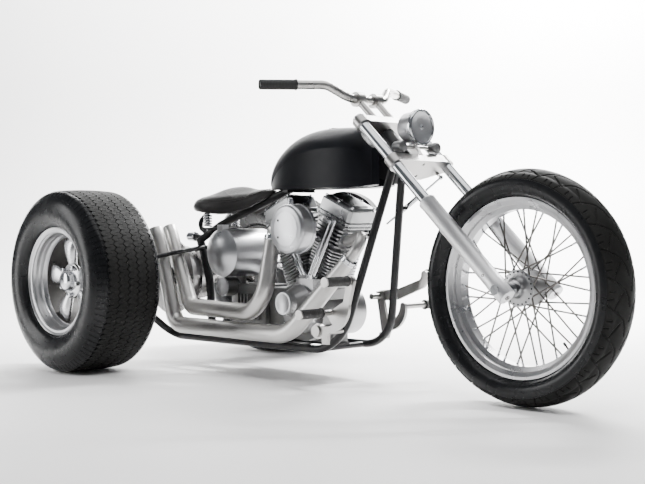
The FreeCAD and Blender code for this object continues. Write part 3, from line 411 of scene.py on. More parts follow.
class Bench:
    """The workbench: the modelling operators, each with a clean selection."""

    @staticmethod
    def clear() -> None:
        """Leaves edit mode and selects nothing."""
        if bpy.context.mode != "OBJECT":
            bpy.ops.object.mode_set(mode="OBJECT")
        bpy.ops.object.select_all(action="DESELECT")
        bpy.context.tool_settings.mesh_select_mode = (True, False, False)

    @staticmethod
    def only(obj: bpy.types.Object) -> None:
        """Selects one object and makes it the active one.

        Args:
            obj: The object.
        """
        Bench.clear()
        obj.select_set(True)
        bpy.context.view_layer.objects.active = obj

    @staticmethod
    def edit() -> bmesh.types.BMesh:
        """Enters edit mode on the active object.

        Returns:
            The mesh being edited, with its tables ready.
        """
        if bpy.context.mode != "EDIT_MESH":
            bpy.ops.object.mode_set(mode="EDIT")
        mesh = bmesh.from_edit_mesh(bpy.context.object.data)
        mesh.verts.ensure_lookup_table()
        mesh.edges.ensure_lookup_table()
        mesh.faces.ensure_lookup_table()
        return mesh

    @staticmethod
    def tidy(obj: bpy.types.Object, merge: float = 1e-5) -> None:
        """Merges doubles and turns every face outwards.

        Args:
            obj: The piece.
            merge: How near two points are to be one, in metres.
        """
        Bench.only(obj)
        Bench.edit()
        bpy.ops.mesh.select_all(action="SELECT")
        bpy.ops.mesh.remove_doubles(threshold=merge)
        bpy.ops.mesh.normals_make_consistent(inside=False)
        Bench.clear()

    @staticmethod
    def finish(obj: bpy.types.Object, name: str, finish: Finish,
               smooth: float = 35.0) -> bpy.types.Object:
        """Names and dresses a piece, with its place in its mesh.

        Args:
            obj: The piece.
            name: Its name.
            finish: Its finish.
            smooth: Angle in degrees up to which edges are smooth.

        Returns:
            The same object.
        """
        Bench.only(obj)
        bpy.ops.object.transform_apply(location=True, rotation=True, scale=True)
        obj.name = name
        obj.data.name = name
        obj.data.materials.clear()
        obj.data.materials.append(finish.material())
        bpy.ops.object.shade_smooth_by_angle(angle=math.radians(smooth))
        Bench.clear()
        return obj

    @staticmethod
    def modifier(obj: bpy.types.Object, kind: str, **settings: object) -> None:
        """Adds a modifier, sets it up and applies it.

        Args:
            obj: The piece.
            kind: The modifier's type.
            **settings: Its settings by name.
        """
        Bench.only(obj)
        bpy.ops.object.modifier_add(type=kind)
        made = obj.modifiers[-1]
        for key, value in settings.items():
            setattr(made, key, value)
        bpy.ops.object.modifier_apply(modifier=made.name)

    @staticmethod
    def bevel(obj: bpy.types.Object, width: float, segments: int = 2, angle: float = 35.0) -> None:
        """Rounds the sharp edges of a piece by a width in millimetres."""
        Bench.modifier(obj, "BEVEL", width=width * MM, segments=segments,
                       limit_method="ANGLE", angle_limit=math.radians(angle))

    @staticmethod
    def flatten(obj: bpy.types.Object) -> None:
        """Keeps flat faces flat beside their rounded edges."""
        Bench.modifier(obj, "WEIGHTED_NORMAL", keep_sharp=True, weight=80)

    @staticmethod
    def loft(rings: Sequence[Sequence[Vector]], start_cap: bool = True) -> bpy.types.Object:
        """A skin drawn through loops of points, by extruding one loop after another.

        Args:
            rings: Loops with the same number of points each.
            start_cap: Whether the first loop is filled, as the last one always is.

        Returns:
            The new object.
        """
        Bench.clear()
        count = len(rings[0])
        bpy.ops.mesh.primitive_circle_add(vertices=count, radius=0.01)
        obj = bpy.context.object
        mesh = Bench.edit()
        line = list(range(count))
        for index, point in zip(line, rings[0]):
            mesh.verts[index].co = point
        if start_cap:
            bpy.ops.mesh.edge_face_add()
            mesh = Bench.edit()
            for face in mesh.faces:
                face.select_set(False)
            for index in line:
                mesh.verts[index].select_set(True)
            for edge in mesh.edges:
                edge.select_set(True)
        bpy.context.tool_settings.mesh_select_mode = (True, True, False)
        for ring in rings[1:]:
            bpy.ops.mesh.extrude_edges_move()
            mesh = Bench.edit()
            follow = []
            for index in line:
                others = [e.other_vert(mesh.verts[index]) for e in mesh.verts[index].link_edges]
                follow.append([v.index for v in others if v.select][0])
            line = follow
            for index, point in zip(line, ring):
                mesh.verts[index].co = point
        bpy.ops.mesh.edge_face_add()
        Bench.clear()
        Bench.tidy(obj, 1e-6)
        return obj

    @staticmethod
    def turned(profile: Sequence[Pair], centre: Vector, axis: Vector = AXIS_Y,
               steps: int = 96) -> bpy.types.Object:
        """A turned piece, spun from (radius, along) points in millimetres.

        Args:
            profile: The outline, from one end to the other.
            centre: A point of the axis.
            axis: The axis's direction.
            steps: Steps of the full turn.

        Returns:
            The new object.
        """
        out = axis.orthogonal().normalized()
        points = [centre + out * (r * MM) + axis * (a * MM) for r, a in profile]
        Bench.clear()
        bpy.ops.mesh.primitive_plane_add(size=0.01, location=points[0])
        obj = bpy.context.object
        bpy.ops.object.transform_apply(location=True, rotation=True, scale=True)
        Bench.edit()
        bpy.ops.mesh.select_all(action="SELECT")
        bpy.ops.mesh.merge(type="CENTER")
        for here, there in zip(points, points[1:]):
            bpy.ops.mesh.extrude_region_move(TRANSFORM_OT_translate={"value": there - here})
        bpy.ops.mesh.select_all(action="SELECT")
        bpy.ops.mesh.spin(steps=steps, angle=2 * math.pi, center=centre, axis=axis)
        Bench.clear()
        Bench.tidy(obj)
        return obj

    @staticmethod
    def strip(points: Sequence[Vector], across: Vector) -> bpy.types.Object:
        """An open sheet drawn along a line.

        Args:
            points: The line that one side of the sheet follows.
            across: From that side to the other.

        Returns:
            The new object.
        """
        Bench.clear()
        bpy.ops.mesh.primitive_plane_add(size=1.0)
        obj = bpy.context.object
        mesh = Bench.edit()
        corners = (points[0], points[0] + across, points[1], points[1] + across)
        for vertex, corner in zip(mesh.verts, corners):
            vertex.co = corner
        for here, there in zip(points[1:], points[2:]):
            bpy.ops.mesh.select_all(action="DESELECT")
            mesh = Bench.edit()
            for vertex in mesh.verts:
                if (vertex.co - here).length < 1e-5 or (vertex.co - here - across).length < 1e-5:
                    vertex.select_set(True)
            mesh.select_flush(True)
            bpy.ops.mesh.extrude_region_move(TRANSFORM_OT_translate={"value": there - here})
        Bench.clear()
        return obj

    @staticmethod
    def plate(outline: Sequence[Vector], depth: Vector) -> bpy.types.Object:
        """A flat plate with an outline, drawn out by a depth."""
        return Bench.loft([outline, [p + depth for p in outline]])

    @staticmethod
    def around(obj: bpy.types.Object, centre: Vector, axis: Vector, count: int) -> None:
        """Repeats a piece round an axis, inside its own mesh.

        Args:
            obj: The piece.
            centre: A point of the axis.
            axis: The axis.
            count: How many there are in a full turn.
        """
        pivot = bpy.data.objects.new("pivot", None)
        bpy.context.scene.collection.objects.link(pivot)
        turn = Matrix.Rotation(2 * math.pi / count, 4, axis)
        pivot.matrix_world = Matrix.Translation(centre) @ turn @ Matrix.Translation(-centre)
        bpy.context.view_layer.update()
        Bench.modifier(obj, "ARRAY", count=count, use_relative_offset=False,
                       use_object_offset=True, offset_object=pivot)
        bpy.data.objects.remove(pivot)

    @staticmethod
    def join(objs: Iterable[bpy.types.Object]) -> bpy.types.Object:
        """Joins pieces into one object.

        Args:
            objs: The pieces.

        Returns:
            The joined object.
        """
        several = list(objs)
        Bench.clear()
        for obj in several:
            obj.select_set(True)
        bpy.context.view_layer.objects.active = several[0]
        if len(several) > 1:
            bpy.ops.object.join()
        joined = bpy.context.view_layer.objects.active
        Bench.clear()
        return joined

    @staticmethod
    def bent(corners: Sequence[Vector], bends: Sequence[float]) -> list[Vector]:
        """A line through corners, each rounded by an arc.

        Args:
            corners: The line's corners.
            bends: Radius in millimetres at each corner but the ends.

        Returns:
            Points along the line.
        """
        line = [corners[0]]
        for before, corner, after, bend in zip(corners, corners[1:], corners[2:], bends):
            come, leave = (corner - before).normalized(), (after - corner).normalized()
            half = come.angle(leave) / 2
            reach, weight = bend * MM * math.tan(half), math.cos(half)
            a, b = corner - come * reach, corner + leave * reach
            for step in range(15):
                t = step / 14
                u, v, w = (1 - t) ** 2, 2 * weight * t * (1 - t), t * t
                line.append((a * u + corner * v + b * w) / (u + v + w))
        line.append(corners[-1])
        return line

    @staticmethod
    def pipe(line: Sequence[Vector], radii: Sequence[Pair], bore: float = 0.0,
             sides: int = 36) -> bpy.types.Object:
        """A tube whose radius changes along a line.

        Args:
            line: Its middle.
            radii: Radii in millimetres as (distance along it, radius).
            bore: Radius of the hole at its far end, if it has one.
            sides: Sides of its section.

        Returns:
            The new object.
        """
        gone, rings = 0.0, []
        aside = (line[1] - line[0]).orthogonal().normalized()
        for number, point in enumerate(line):
            here = line[max(number - 1, 0)]
            there = line[min(number + 1, len(line) - 1)]
            along = (there - here).normalized()
            aside = (aside - along * aside.dot(along)).normalized()
            up = along.cross(aside)
            if number:
                gone += (point - line[number - 1]).length / MM
            radius = read_table(radii, gone)
            sizes = [(0.0, radius)]
            if bore and number == len(line) - 1:
                sizes = [(-1.5, radius), (0.0, radius - 1.0), (0.0, bore + 0.6), (-1.5, bore),
                         (-55.0, bore)]
            for back, size in sizes:
                rings.append([point + along * (back * MM)
                              + (aside * math.cos(t) + up * math.sin(t)) * (size * MM)
                              for t in (2 * math.pi * k / sides for k in range(sides))])
        return Bench.loft(rings)

    @staticmethod
    def wire(points: Sequence[Vector], radius: float, name: str, finish: Finish,
             cyclic: bool = False, sides: int = 2) -> bpy.types.Object:
        """A round wire or tube along a smooth line, as a mesh.

        Args:
            points: The points that it is drawn through.
            radius: Its radius in millimetres.
            name: Its name.
            finish: Its finish.
            cyclic: Whether it is a closed loop.
            sides: Fineness of its section.

        Returns:
            The new object.
        """
        Bench.clear()
        bpy.ops.curve.primitive_nurbs_path_add()
        obj = bpy.context.object
        curve = obj.data
        curve.splines.clear()
        line = curve.splines.new("NURBS")
        line.points.add(len(points) - 1)
        for knot, point in zip(line.points, points):
            knot.co = (*point, 1.0)
        line.order_u = 3
        line.use_cyclic_u = cyclic
        line.use_endpoint_u = not cyclic
        curve.resolution_u = 6
        curve.bevel_depth = radius * MM
        curve.bevel_resolution = sides
        curve.use_fill_caps = True
        Bench.only(obj)
        bpy.ops.object.convert(target="MESH")
        obj = bpy.context.object
        Bench.tidy(obj)
        return Bench.finish(obj, name, finish, 60)

    @staticmethod
    def screws(places: Sequence[Vector], axis: Vector, radius: float, height: float,
               socket: bool = True) -> bpy.types.Object:
        """Cap screws with a socket, or domed nuts, one modelled and the rest copied.

        Args:
            places: Where their seats are.
            axis: Which way their heads point.
            radius: Radius of a head in millimetres.
            height: Height of a head in millimetres.
            socket: Whether the head is round with a hexagon socket.

        Returns:
            One object with them all.
        """
        Bench.clear()
        sides = 20 if socket else 6
        bpy.ops.mesh.primitive_cylinder_add(vertices=sides, radius=radius * MM,
                                            depth=height * MM)
        first = bpy.context.object
        top = height * MM / 2
        Bench.edit()
        bpy.ops.mesh.select_all(action="DESELECT")
        bpy.context.tool_settings.mesh_select_mode = (False, False, True)
        mesh = Bench.edit()
        for face in mesh.faces:
            if face.calc_center_median().z > top * 0.9:
                face.select_set(True)
        bpy.ops.mesh.inset(thickness=radius * MM * 0.18)
        bpy.ops.transform.translate(value=(0, 0, height * MM * 0.12))
        if socket:
            bpy.ops.mesh.inset(thickness=radius * MM * 0.30)
            bpy.ops.mesh.extrude_region_move(
                TRANSFORM_OT_translate={"value": (0, 0, -height * MM * 0.5)})
        Bench.clear()
        turn = AXIS_Z.rotation_difference(axis).to_matrix().to_4x4()
        made = []
        for where in places:
            data = first.data.copy()
            copy = bpy.data.objects.new("screw", data)
            bpy.context.scene.collection.objects.link(copy)
            shift = where + axis.normalized() * top
            data.transform(Matrix.Translation(shift) @ turn)
            made.append(copy)
        bpy.data.objects.remove(first)
        return Bench.join(made)


@dataclass
class Crown:
    """Half of a tyre's outline, measured along its surface from the middle of the tread.

    Attributes:
        points: The outline as (radius, y), from the middle to the bead.
    """

    points: list[Pair]

    def at(self, along: float) -> tuple[float, float, float, float]:
        """Where the surface is, and which way it faces.

        Args:
            along: Distance along the surface, negative towards the rider's right.

        Returns:
            Radius, y, and the outward direction's two parts.
        """
        way = -1.0 if along < 0 else 1.0
        left = abs(along)
        for (r0, y0), (r1, y1) in zip(self.points, self.points[1:]):
            length = math.hypot(r1 - r0, y1 - y0)
            if left <= length:
                share = left / length
                out_r, out_y = (y1 - y0) / length, (r0 - r1) / length
                return r0 + (r1 - r0) * share, way * (y0 + (y1 - y0) * share), out_r, way * out_y
            left -= length
        radius, y = self.points[-1]
        return radius, way * y, 1.0, 0.0

    def spot(self, centre: Vector, angle: float, along: float, lift: float) -> Vector:
        """A point on or near the surface.

        Args:
            centre: The wheel's centre.
            angle: The angle round the wheel, measured from the top.
            along: Distance along the surface from the tread's middle.
            lift: Height above the surface.

        Returns:
            The point in the frame.
        """
        radius, y, out_r, out_y = self.at(along)
        reach = (radius + lift * out_r) * MM
        return centre + Vector((reach * math.sin(angle), (y + lift * out_y) * MM,
                                reach * math.cos(angle)))


@dataclass
class Tyre:
    """A tyre: a carcass that is sunk under its tread, and the tread itself.

    Attributes:
        name: Name of the node that it stands for.
        body: The body that it turns with.
        centre: The wheel's centre.
        crown: The outline.
        pitches: How many times the tread repeats.
        depth: Depth of the grooves.
        edge: How far from the middle the tread goes.
        steps: Steps of the carcass's turn.
        wall_marks: How many points the carcass has from the tread to the bead.
        ring_mark: Which of them carries the sidewall's raised ring.
    """

    name: str
    body: str
    centre: Vector
    crown: Crown
    pitches: int
    depth: float
    edge: float
    steps: int = 132
    wall_marks: int = 22
    ring_mark: int = 15

    def carcass(self) -> bpy.types.Object:
        """The turned carcass, with a fine ring on each sidewall.

        Returns:
            The carcass.
        """
        outline: list[Pair] = []
        total = sum(math.dist(a, b) for a, b in zip(self.crown.points, self.crown.points[1:]))
        marks = [self.edge * k / 12 for k in range(12)] + [self.edge - 3, self.edge + 0.5]
        wall = total - self.edge
        marks += [self.edge + wall * k / self.wall_marks for k in range(1, self.wall_marks + 1)]
        for along in marks:
            radius, y, out_r, out_y = self.crown.at(min(along, total - 0.01))
            lift = -self.depth if along < self.edge - 1 else 0.0
            if abs(along - (self.edge + wall * self.ring_mark / self.wall_marks)) < 1:
                lift = 1.2
            outline.append((radius + lift * out_r, y + lift * out_y))
        inner = [(radius, -y) for radius, y in outline[1:]]
        return Bench.turned(outline[::-1] + inner, self.centre, steps=self.steps)

    def tread(self) -> bpy.types.Object:
        """One pitch of the tread; each kind of tyre has its own."""
        raise NotImplementedError

    def build(self) -> None:
        """Builds the tyre and puts it on its body."""
        tread = self.tread()
        Bench.around(tread, self.centre, AXIS_Y, self.pitches)
        Bench.tidy(tread, 2e-5)
        Bench.finish(tread, self.name + "_tread", TREAD_RUBBER, 32)
        carcass = Bench.finish(self.carcass(), self.name + "_carcass", WALL_RUBBER, 30)
        for piece in (tread, carcass):
            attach(piece, self.body)
        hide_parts(self.name)
        LOG.info("tyre %s", self.name)


@dataclass
class RearTyre(Tyre):
    """Wide tyre with zigzag ribs, sipes and cut shoulders.

    Attributes:
        ribs: How many ribs there are.
        half: Half the width that they take up.
        wave: How far they zigzag.
        gap: Width of the grooves between them.
        sipe: Width of a sipe, as a share of the pitch.
    """

    ribs: int = 5
    half: float = 103.0
    wave: float = 5.5
    gap: float = 4.4
    sipe: float = 0.075

    def rib(self, low: float, high: float) -> list[Pair]:
        """Outline of one pitch of a rib, with a sipe cut in from each side.

        Args:
            low: Middle of the groove on one side.
            high: Middle of the groove on the other side.

        Returns:
            Corners as (share of the pitch, distance along the surface).
        """
        a, b = low + self.gap / 2, high - self.gap / 2
        cut = (high - low) * 0.36
        w, s = self.wave, self.sipe / 2
        return [(0.0, a), (0.25 - s, a + w), (0.25 - s, a + w + cut), (0.25 + s, a + w + cut),
                (0.25 + s, a + w), (0.75, a - w), (1.0, a), (1.0, b), (0.75 + s, b - w),
                (0.75 + s, b - w - cut), (0.75 - s, b - w - cut), (0.75 - s, b - w),
                (0.25, b + w), (0.0, b)]

    def block(self, outline: list[Pair]) -> bpy.types.Object:
        """A block standing on the carcass, open where the next pitch goes on.

        Args:
            outline: Its corners as (share of the pitch, distance along the surface).

        Returns:
            The block.
        """
        pitch = 2 * math.pi / self.pitches
        rings = [[self.crown.spot(self.centre, u * pitch, along, lift) for u, along in outline]
                 for lift in (-self.depth - 0.6, 0.0)]
        made = Bench.loft(rings, start_cap=False)
        Bench.only(made)
        Bench.edit()
        bpy.ops.mesh.select_all(action="DESELECT")
        bpy.context.tool_settings.mesh_select_mode = (False, False, True)
        mesh = Bench.edit()
        side = AXIS_Y.cross(Vector((math.sin(pitch / 2), 0, math.cos(pitch / 2))))
        for face in mesh.faces:
            where = face.calc_center_median() - self.centre
            turn = math.atan2(where.x, where.z)
            if abs(face.normal.dot(side)) > 0.9 and min(abs(turn), abs(turn - pitch)) < 1e-4:
                face.select_set(True)
        bpy.ops.mesh.delete(type="FACE")
        Bench.clear()
        return made

    def tread(self) -> bpy.types.Object:
        """One pitch of the ribs.

        Returns:
            The ribs' blocks, joined.
        """
        width = 2 * self.half / self.ribs
        edges = [-self.half + k * width for k in range(self.ribs + 1)]
        return Bench.join([self.block(self.rib(low, high)) for low, high in zip(edges, edges[1:])])

    def build(self) -> None:
        """Builds the tyre and the lugs of both shoulders."""
        super().build()
        lugs = Bench.join([self.lug(way) for way in (-1, 1)])
        Bench.around(lugs, self.centre, AXIS_Y, self.pitches)
        Bench.finish(lugs, self.name + "_shoulders", WALL_RUBBER, 40)
        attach(lugs, self.body)

    def lug(self, way: int) -> bpy.types.Object:
        """A shoulder lug that bends down over the tyre's side and fades into it.

        Args:
            way: Side of the tyre, 1 or -1.

        Returns:
            The lug.
        """
        pitch = 2 * math.pi / self.pitches
        inner = self.half + self.gap / 2
        rings = []
        for along in (inner, 112, 118, 124, 130, 137, 144, self.edge + 4):
            zig = self.wave * way if along == inner else 0.0
            rise = -0.6 if along > self.edge else 0.0
            rings.append([self.crown.spot(self.centre, u * pitch, way * along + shift, lift)
                          for u, lift, shift in ((0.05, -self.depth, 0), (0.05, rise, 0),
                                                 (0.25, rise, zig), (0.75, rise, -zig),
                                                 (0.95, rise, 0), (0.95, -self.depth, 0))])
        return Bench.loft(rings)


@dataclass
class FrontTyre(Tyre):
    """Round tyre with sickle grooves that sweep from the middle to the shoulders.

    Attributes:
        rows: Squares of a pitch's sheet, round the tyre.
        columns: Squares of a pitch's sheet, across the tyre.
        half_groove: Half a groove's width at its floor.
        slope: Width of a groove's side.
    """

    rows: int = 36
    columns: int = 66
    half_groove: float = 1.5
    slope: float = 1.6

    @staticmethod
    def grooves() -> list[list[Pair]]:
        """The middle lines of one side's grooves.

        Returns:
            Lines of points as (distance round the tyre, distance from the tread's middle).
        """
        sickle = [(-6.0, 80.0), (0.0, 70.0), (16.0, 43.0), (35.0, 22.0), (58.0, 10.0), (84.0, 4.0)]
        branch = [(6.0, 58.0), (-20.0, 44.0), (-44.0, 30.0)]
        return [sickle, branch, [(-26.0, 66.0), (-24.0, 80.0)], [(40.0, 60.0), (42.0, 74.0)]]

    def sunk(self, arc_mm: float, along: float) -> float:
        """How deep the tread is at a point.

        Args:
            arc_mm: Distance round the tyre.
            along: Distance from the middle.

        Returns:
            The depth in millimetres.
        """
        span = 2 * math.pi * self.crown.points[0][0] / self.pitches
        place_on = arc_mm + (span / 2 if along > 0 else 0.0)
        nearest = 99.0
        for line in self.grooves():
            for copy in (-2, -1, 0, 1, 2):
                for (x0, y0), (x1, y1) in zip(line, line[1:]):
                    ax, ay = place_on + copy * span - x0, abs(along) - y0
                    dx, dy = x1 - x0, y1 - y0
                    t = max(0.0, min(1.0, (ax * dx + ay * dy) / (dx * dx + dy * dy)))
                    nearest = min(nearest, math.hypot(ax - dx * t, ay - dy * t))
        share = max(0.0, min(1.0, (nearest - self.half_groove) / self.slope))
        return self.depth * (1 - share * share * (3 - 2 * share))

    def tread(self) -> bpy.types.Object:
        """One pitch of the tread, as a fine sheet pressed down along the grooves.

        Returns:
            The sheet.
        """
        Bench.clear()
        bpy.ops.mesh.primitive_grid_add(x_subdivisions=self.rows, y_subdivisions=self.columns,
                                        size=1.0)
        sheet = bpy.context.object
        mesh = Bench.edit()
        pitch = 2 * math.pi / self.pitches
        span = pitch * self.crown.points[0][0]
        for vertex in mesh.verts:
            share, across = vertex.co.x + 0.5, vertex.co.y * 2.0
            along = across * self.edge
            lift = -self.sunk(share * span, along)
            if abs(across) > 0.999:
                lift = -1.0
            vertex.co = self.crown.spot(self.centre, share * pitch, along, lift)
        Bench.clear()
        return sheet


# Each crown goes from the tread's middle over the shoulder and the sidewall to the bead.
REAR_CROWN = Crown([(353, 0)] + arc((353, 0), (352, 50), (349, 100), 8) + arc(
    (349, 100), (345, 116), (331, 130), 6) + arc((331, 130), (285, 154), (213, 131), 16)
    + [(210, 118), (190.5, 118)])
FRONT_CROWN = Crown([(370.5, 0)] + arc((370.5, 0), (367, 23), (357, 44), 8) + arc(
    (357, 44), (322, 76), (285.5, 50), 16) + [(283.5, 42), (266, 42)])


@dataclass
class RearWheel:
    """Deep rim with five swelling spokes, a domed cap and its nuts.

    Attributes:
        side: 1 on the left, -1 on the right.
        spokes: How many spokes there are.
        first: Angle of the first spoke from the top, in degrees.
        face: Distance of the hub's face from the wheel's middle, outwards.
        nut_circle: Radius of the circle that the nuts stand on.
        rim_half: Half of the rim's section as (radius, distance from its middle).
        hub: The hub's section, from its face.
        cap: The cap's section, from its seat.
        stations: Sections of a spoke as (radius, half width, crown, depth behind the face).
    """

    side: int
    spokes: int = 5
    first: float = -80.0
    face: float = 30.0
    nut_circle: float = 56.0
    rim_half: Profile = ((169, 0), (169, 62), (171, 68), (177, 73), (179, 76), (178, 84),
                         (181, 90), (184, 94), (184, 104), (187, 110), (193, 116), (199, 119),
                         (202, 123.5), (206, 126), (208.6, 124.5), (208.6, 119.5), (190, 118.5),
                         (190, 84), (184, 76), (178, 70), (178, 0))
    hub: Profile = ((20.5, -74), (46, -74), (46, -14), (50, 0), (64, 8), (69, 15), (66, 24),
                    (52, 30), (20.5, 30))
    cap: Profile = ((20.5, 0), (41, 0), (41.5, 3), (40, 5), (38.5, 7), (38.5, 22), (35.5, 28),
                    (28, 31.5), (14, 33.4), (0, 34))
    stations: tuple[tuple[float, float, float, float], ...] = (
        (46, 22, 6, 24), (62, 19, 10, 20), (82, 26, 14, 18), (104, 35, 18, 16),
        (126, 41, 20, 16), (146, 42, 16, 18), (161, 40, 9, 24), (173, 44, 2, 30))

    def at(self, radius: float, angle: float, out: float) -> Vector:
        """A point of the wheel at a radius, an angle from the top and a distance outwards."""
        return place(radius * math.sin(angle), self.side * (REAR_Y + out),
                     REAR_R + radius * math.cos(angle))

    def spoke(self, angle: float) -> bpy.types.Object:
        """One leaf-shaped spoke with a full crown, flaring where it meets the rim.

        Args:
            angle: Its angle from the top.

        Returns:
            The spoke.
        """
        corners = 14
        rings = []
        for radius, half, crown, depth in self.stations:
            ring = []
            for step in range(corners):
                turn = 2 * math.pi * step / corners
                across = half * math.cos(turn)
                out = math.sin(turn) * (crown if math.sin(turn) > 0 else depth)
                centre = self.at(radius, angle, self.face + 14 + out)
                aside = Vector((math.cos(angle), 0.0, -math.sin(angle))) * (across * MM)
                ring.append(centre + aside)
            rings.append(ring)
        made = Bench.loft(rings)
        Bench.modifier(made, "SUBSURF", levels=1, render_levels=1)
        return made

    def rim(self, centre: Vector, out: Vector, name: str) -> bpy.types.Object:
        """The rim, with painted shade on its inside behind the spokes.

        Args:
            centre: The wheel's centre.
            out: Outwards along its axis.
            name: The piece's name.

        Returns:
            The rim.
        """
        inner = [(radius, -along) for radius, along in reversed(self.rim_half)]
        rim = Bench.turned([*self.rim_half, *inner[1:]], centre, out, 128)
        Bench.finish(rim, name, REAR_RIM_ALLOY, 40)
        # Inward faces behind the spokes get the dark finish, which paints the shade inside the
        # wheel.
        rim.data.materials.append(PAINTED_SHADE_DARK.material())
        for polygon in rim.data.polygons:
            reach = (polygon.center - centre).dot(out) / MM
            if reach < self.face + 10 and polygon.normal.dot(polygon.center - centre) < 0:
                polygon.material_index = 1
        return rim

    def build(self) -> None:
        """Builds the wheel's pieces and puts them on its body."""
        word = "left" if self.side > 0 else "right"
        body = "rear_wheel_" + word
        centre = place(0, self.side * REAR_Y, REAR_R)
        out = AXIS_Y * self.side
        rim = self.rim(centre, out, f"rear_rim_{word}")
        apart = 360 / self.spokes
        angles = [math.radians(self.first + apart * k) for k in range(self.spokes)]
        hub = Bench.turned(self.hub, centre + out * (self.face * MM), out, 64)
        middle = Bench.join([*(self.spoke(angle) for angle in angles), hub])
        Bench.finish(middle, f"rear_spokes_{word}", REAR_SPOKE_ALLOY, 40)
        cap = Bench.turned(self.cap, centre + out * ((self.face + 28) * MM), out, 64)
        Bench.finish(cap, f"rear_cap_{word}", CHROME, 40)
        spots = [self.at(self.nut_circle, angle + math.radians(apart / 2), self.face + 26)
                 for angle in angles]
        nuts = Bench.screws(spots, out, 10.5, 15, socket=False)
        Bench.bevel(nuts, 1.4)
        Bench.finish(nuts, f"rear_nuts_{word}", CHROME, 40)
        for piece in (rim, middle, cap, nuts):
            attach(piece, body)
        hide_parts(body)
        LOG.info("rear wheel %s", word)


@dataclass
class FrontWheel:
    """The front wheel's drilled hub, its crossed spokes with their nipples, and its valve.

    Attributes:
        spokes: How many spokes there are.
        flange_y: Distance of the spokes' roots from the wheel's middle.
        root_r: Radius at which the spokes leave the flanges.
        nipple_r: Radius at which the nipples end.
        lean: Angle by which a spoke's root lies ahead of its end or behind it, in degrees.
        hub_half: Half of the hub's section as (radius, distance from its middle).
        nipple: A nipple's section, from its seat.
        stem: The valve's section, from the rim.
        stem_angle: The valve's angle from the top.
    """

    spokes: int = 40
    flange_y: float = 35.0
    root_r: float = 51.0
    nipple_r: float = 248.0
    lean: float = 54.0
    hub_half: Profile = ((19, 0), (19, 17), (24, 23), (40, 30), (55, 32.5), (58, 33.5),
                         (58, 36.5), (56, 37.5), (46, 37.8), (34, 41), (29, 47), (27.5, 55),
                         (25, 58), (11.2, 58))
    nipple: Profile = ((0, -17), (3.0, -17), (3.4, -14), (3.4, -2), (5.2, 0), (5.2, 4), (0, 4))
    stem: Profile = ((0, -2), (6, -2), (6, 2), (3.2, 4), (3.2, 17), (4.4, 18), (4.4, 27),
                     (3, 29), (0, 29))
    stem_angle: float = 2.42

    def lacing(self, number: int, end_r: float) -> tuple[Vector, Vector]:
        """Where a spoke starts and ends, from the wheel's centre.

        Args:
            number: Which spoke it is, of the four that the pattern repeats.
            end_r: Radius of its end.

        Returns:
            Its root and its end.
        """
        side = 1 if number % 2 else -1
        angle = 2 * math.pi / self.spokes * number
        root = angle + math.radians(self.lean if number % 4 < 2 else -self.lean)
        inner = Vector((self.root_r * math.cos(root), self.flange_y * side,
                        self.root_r * math.sin(root))) * MM
        outer = Vector((end_r * math.cos(angle), 9 * side, end_r * math.sin(angle))) * MM
        return inner, outer

    def hub(self, centre: Vector) -> None:
        """The hub, and thin dark discs of painted shadow where its flanges have holes.

        Args:
            centre: The wheel's centre.
        """
        profile = [(r, -y) for r, y in reversed(self.hub_half[1:])] + list(self.hub_half)
        shell = Bench.turned(profile, centre, AXIS_Y, 64)
        Bench.finish(shell, "front_hub_shell", CAST, 40)
        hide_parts("front_hub")
        spots = [centre + Vector((51 * math.cos(a), side * 37.6, 51 * math.sin(a))) * MM
                 for side in (-1, 1) for a in (math.radians(18 * k) for k in range(20))]
        # The holes are not cut. Dark discs paint their shadow.
        holes = [Bench.turned([(0, -0.4), (3.1, -0.4), (3.1, 0.6), (0, 0.6)], spot, AXIS_Y, 8)
                 for spot in spots]
        dark = Bench.finish(Bench.join(holes), "flange_hole_shadows", PAINTED_HOLE_SHADOW, 40)
        for piece in (shell, dark):
            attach(piece, "front_wheel")

    def laced(self, centre: Vector, made: list[bpy.types.Object], name: str,
              finish: Finish) -> None:
        """Repeats the four pieces of the spokes' pattern all round the wheel.

        Args:
            centre: The wheel's centre.
            made: The pattern's pieces.
            name: The name of them all.
            finish: Their finish.
        """
        whole = Bench.join(made)
        Bench.around(whole, centre, AXIS_Y, self.spokes // 4)
        Bench.finish(whole, name, finish, 60 if finish is SPOKE_STEEL else 40)
        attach(whole, "front_wheel")

    def build(self) -> None:
        """Builds the hub, the spokes, the nipples and the valve."""
        centre = place(WHEELBASE, 0, FRONT_R)
        self.hub(centre)
        spokes, nipples = [], []
        for number in range(4):
            inner, outer = self.lacing(number, self.nipple_r - 2)
            along = outer - inner
            length = along.length / MM
            spokes.append(Bench.turned([(0, 0), (2.9, 0), (2.9, length), (0, length)],
                                       centre + inner, along.normalized(), 8))
        self.laced(centre, spokes, "front_spokes", SPOKE_STEEL)
        for number in range(4):
            inner, outer = self.lacing(number, self.nipple_r)
            along = (outer - inner).normalized()
            seat = outer - along * (4.0 * MM)
            nipples.append(Bench.turned(self.nipple, centre + seat, along, 10))
        self.laced(centre, nipples, "spoke_nipples", CHROME)
        out = Vector((math.sin(self.stem_angle), 0, math.cos(self.stem_angle)))
        spot = centre + out * (243 * MM)
        valve = Bench.turned(self.stem, spot, (centre - spot).normalized(), 16)
        Bench.finish(valve, "tyre_valve", GRIP_RUBBER, 40)
        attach(valve, "front_wheel")
        LOG.info("front wheel")


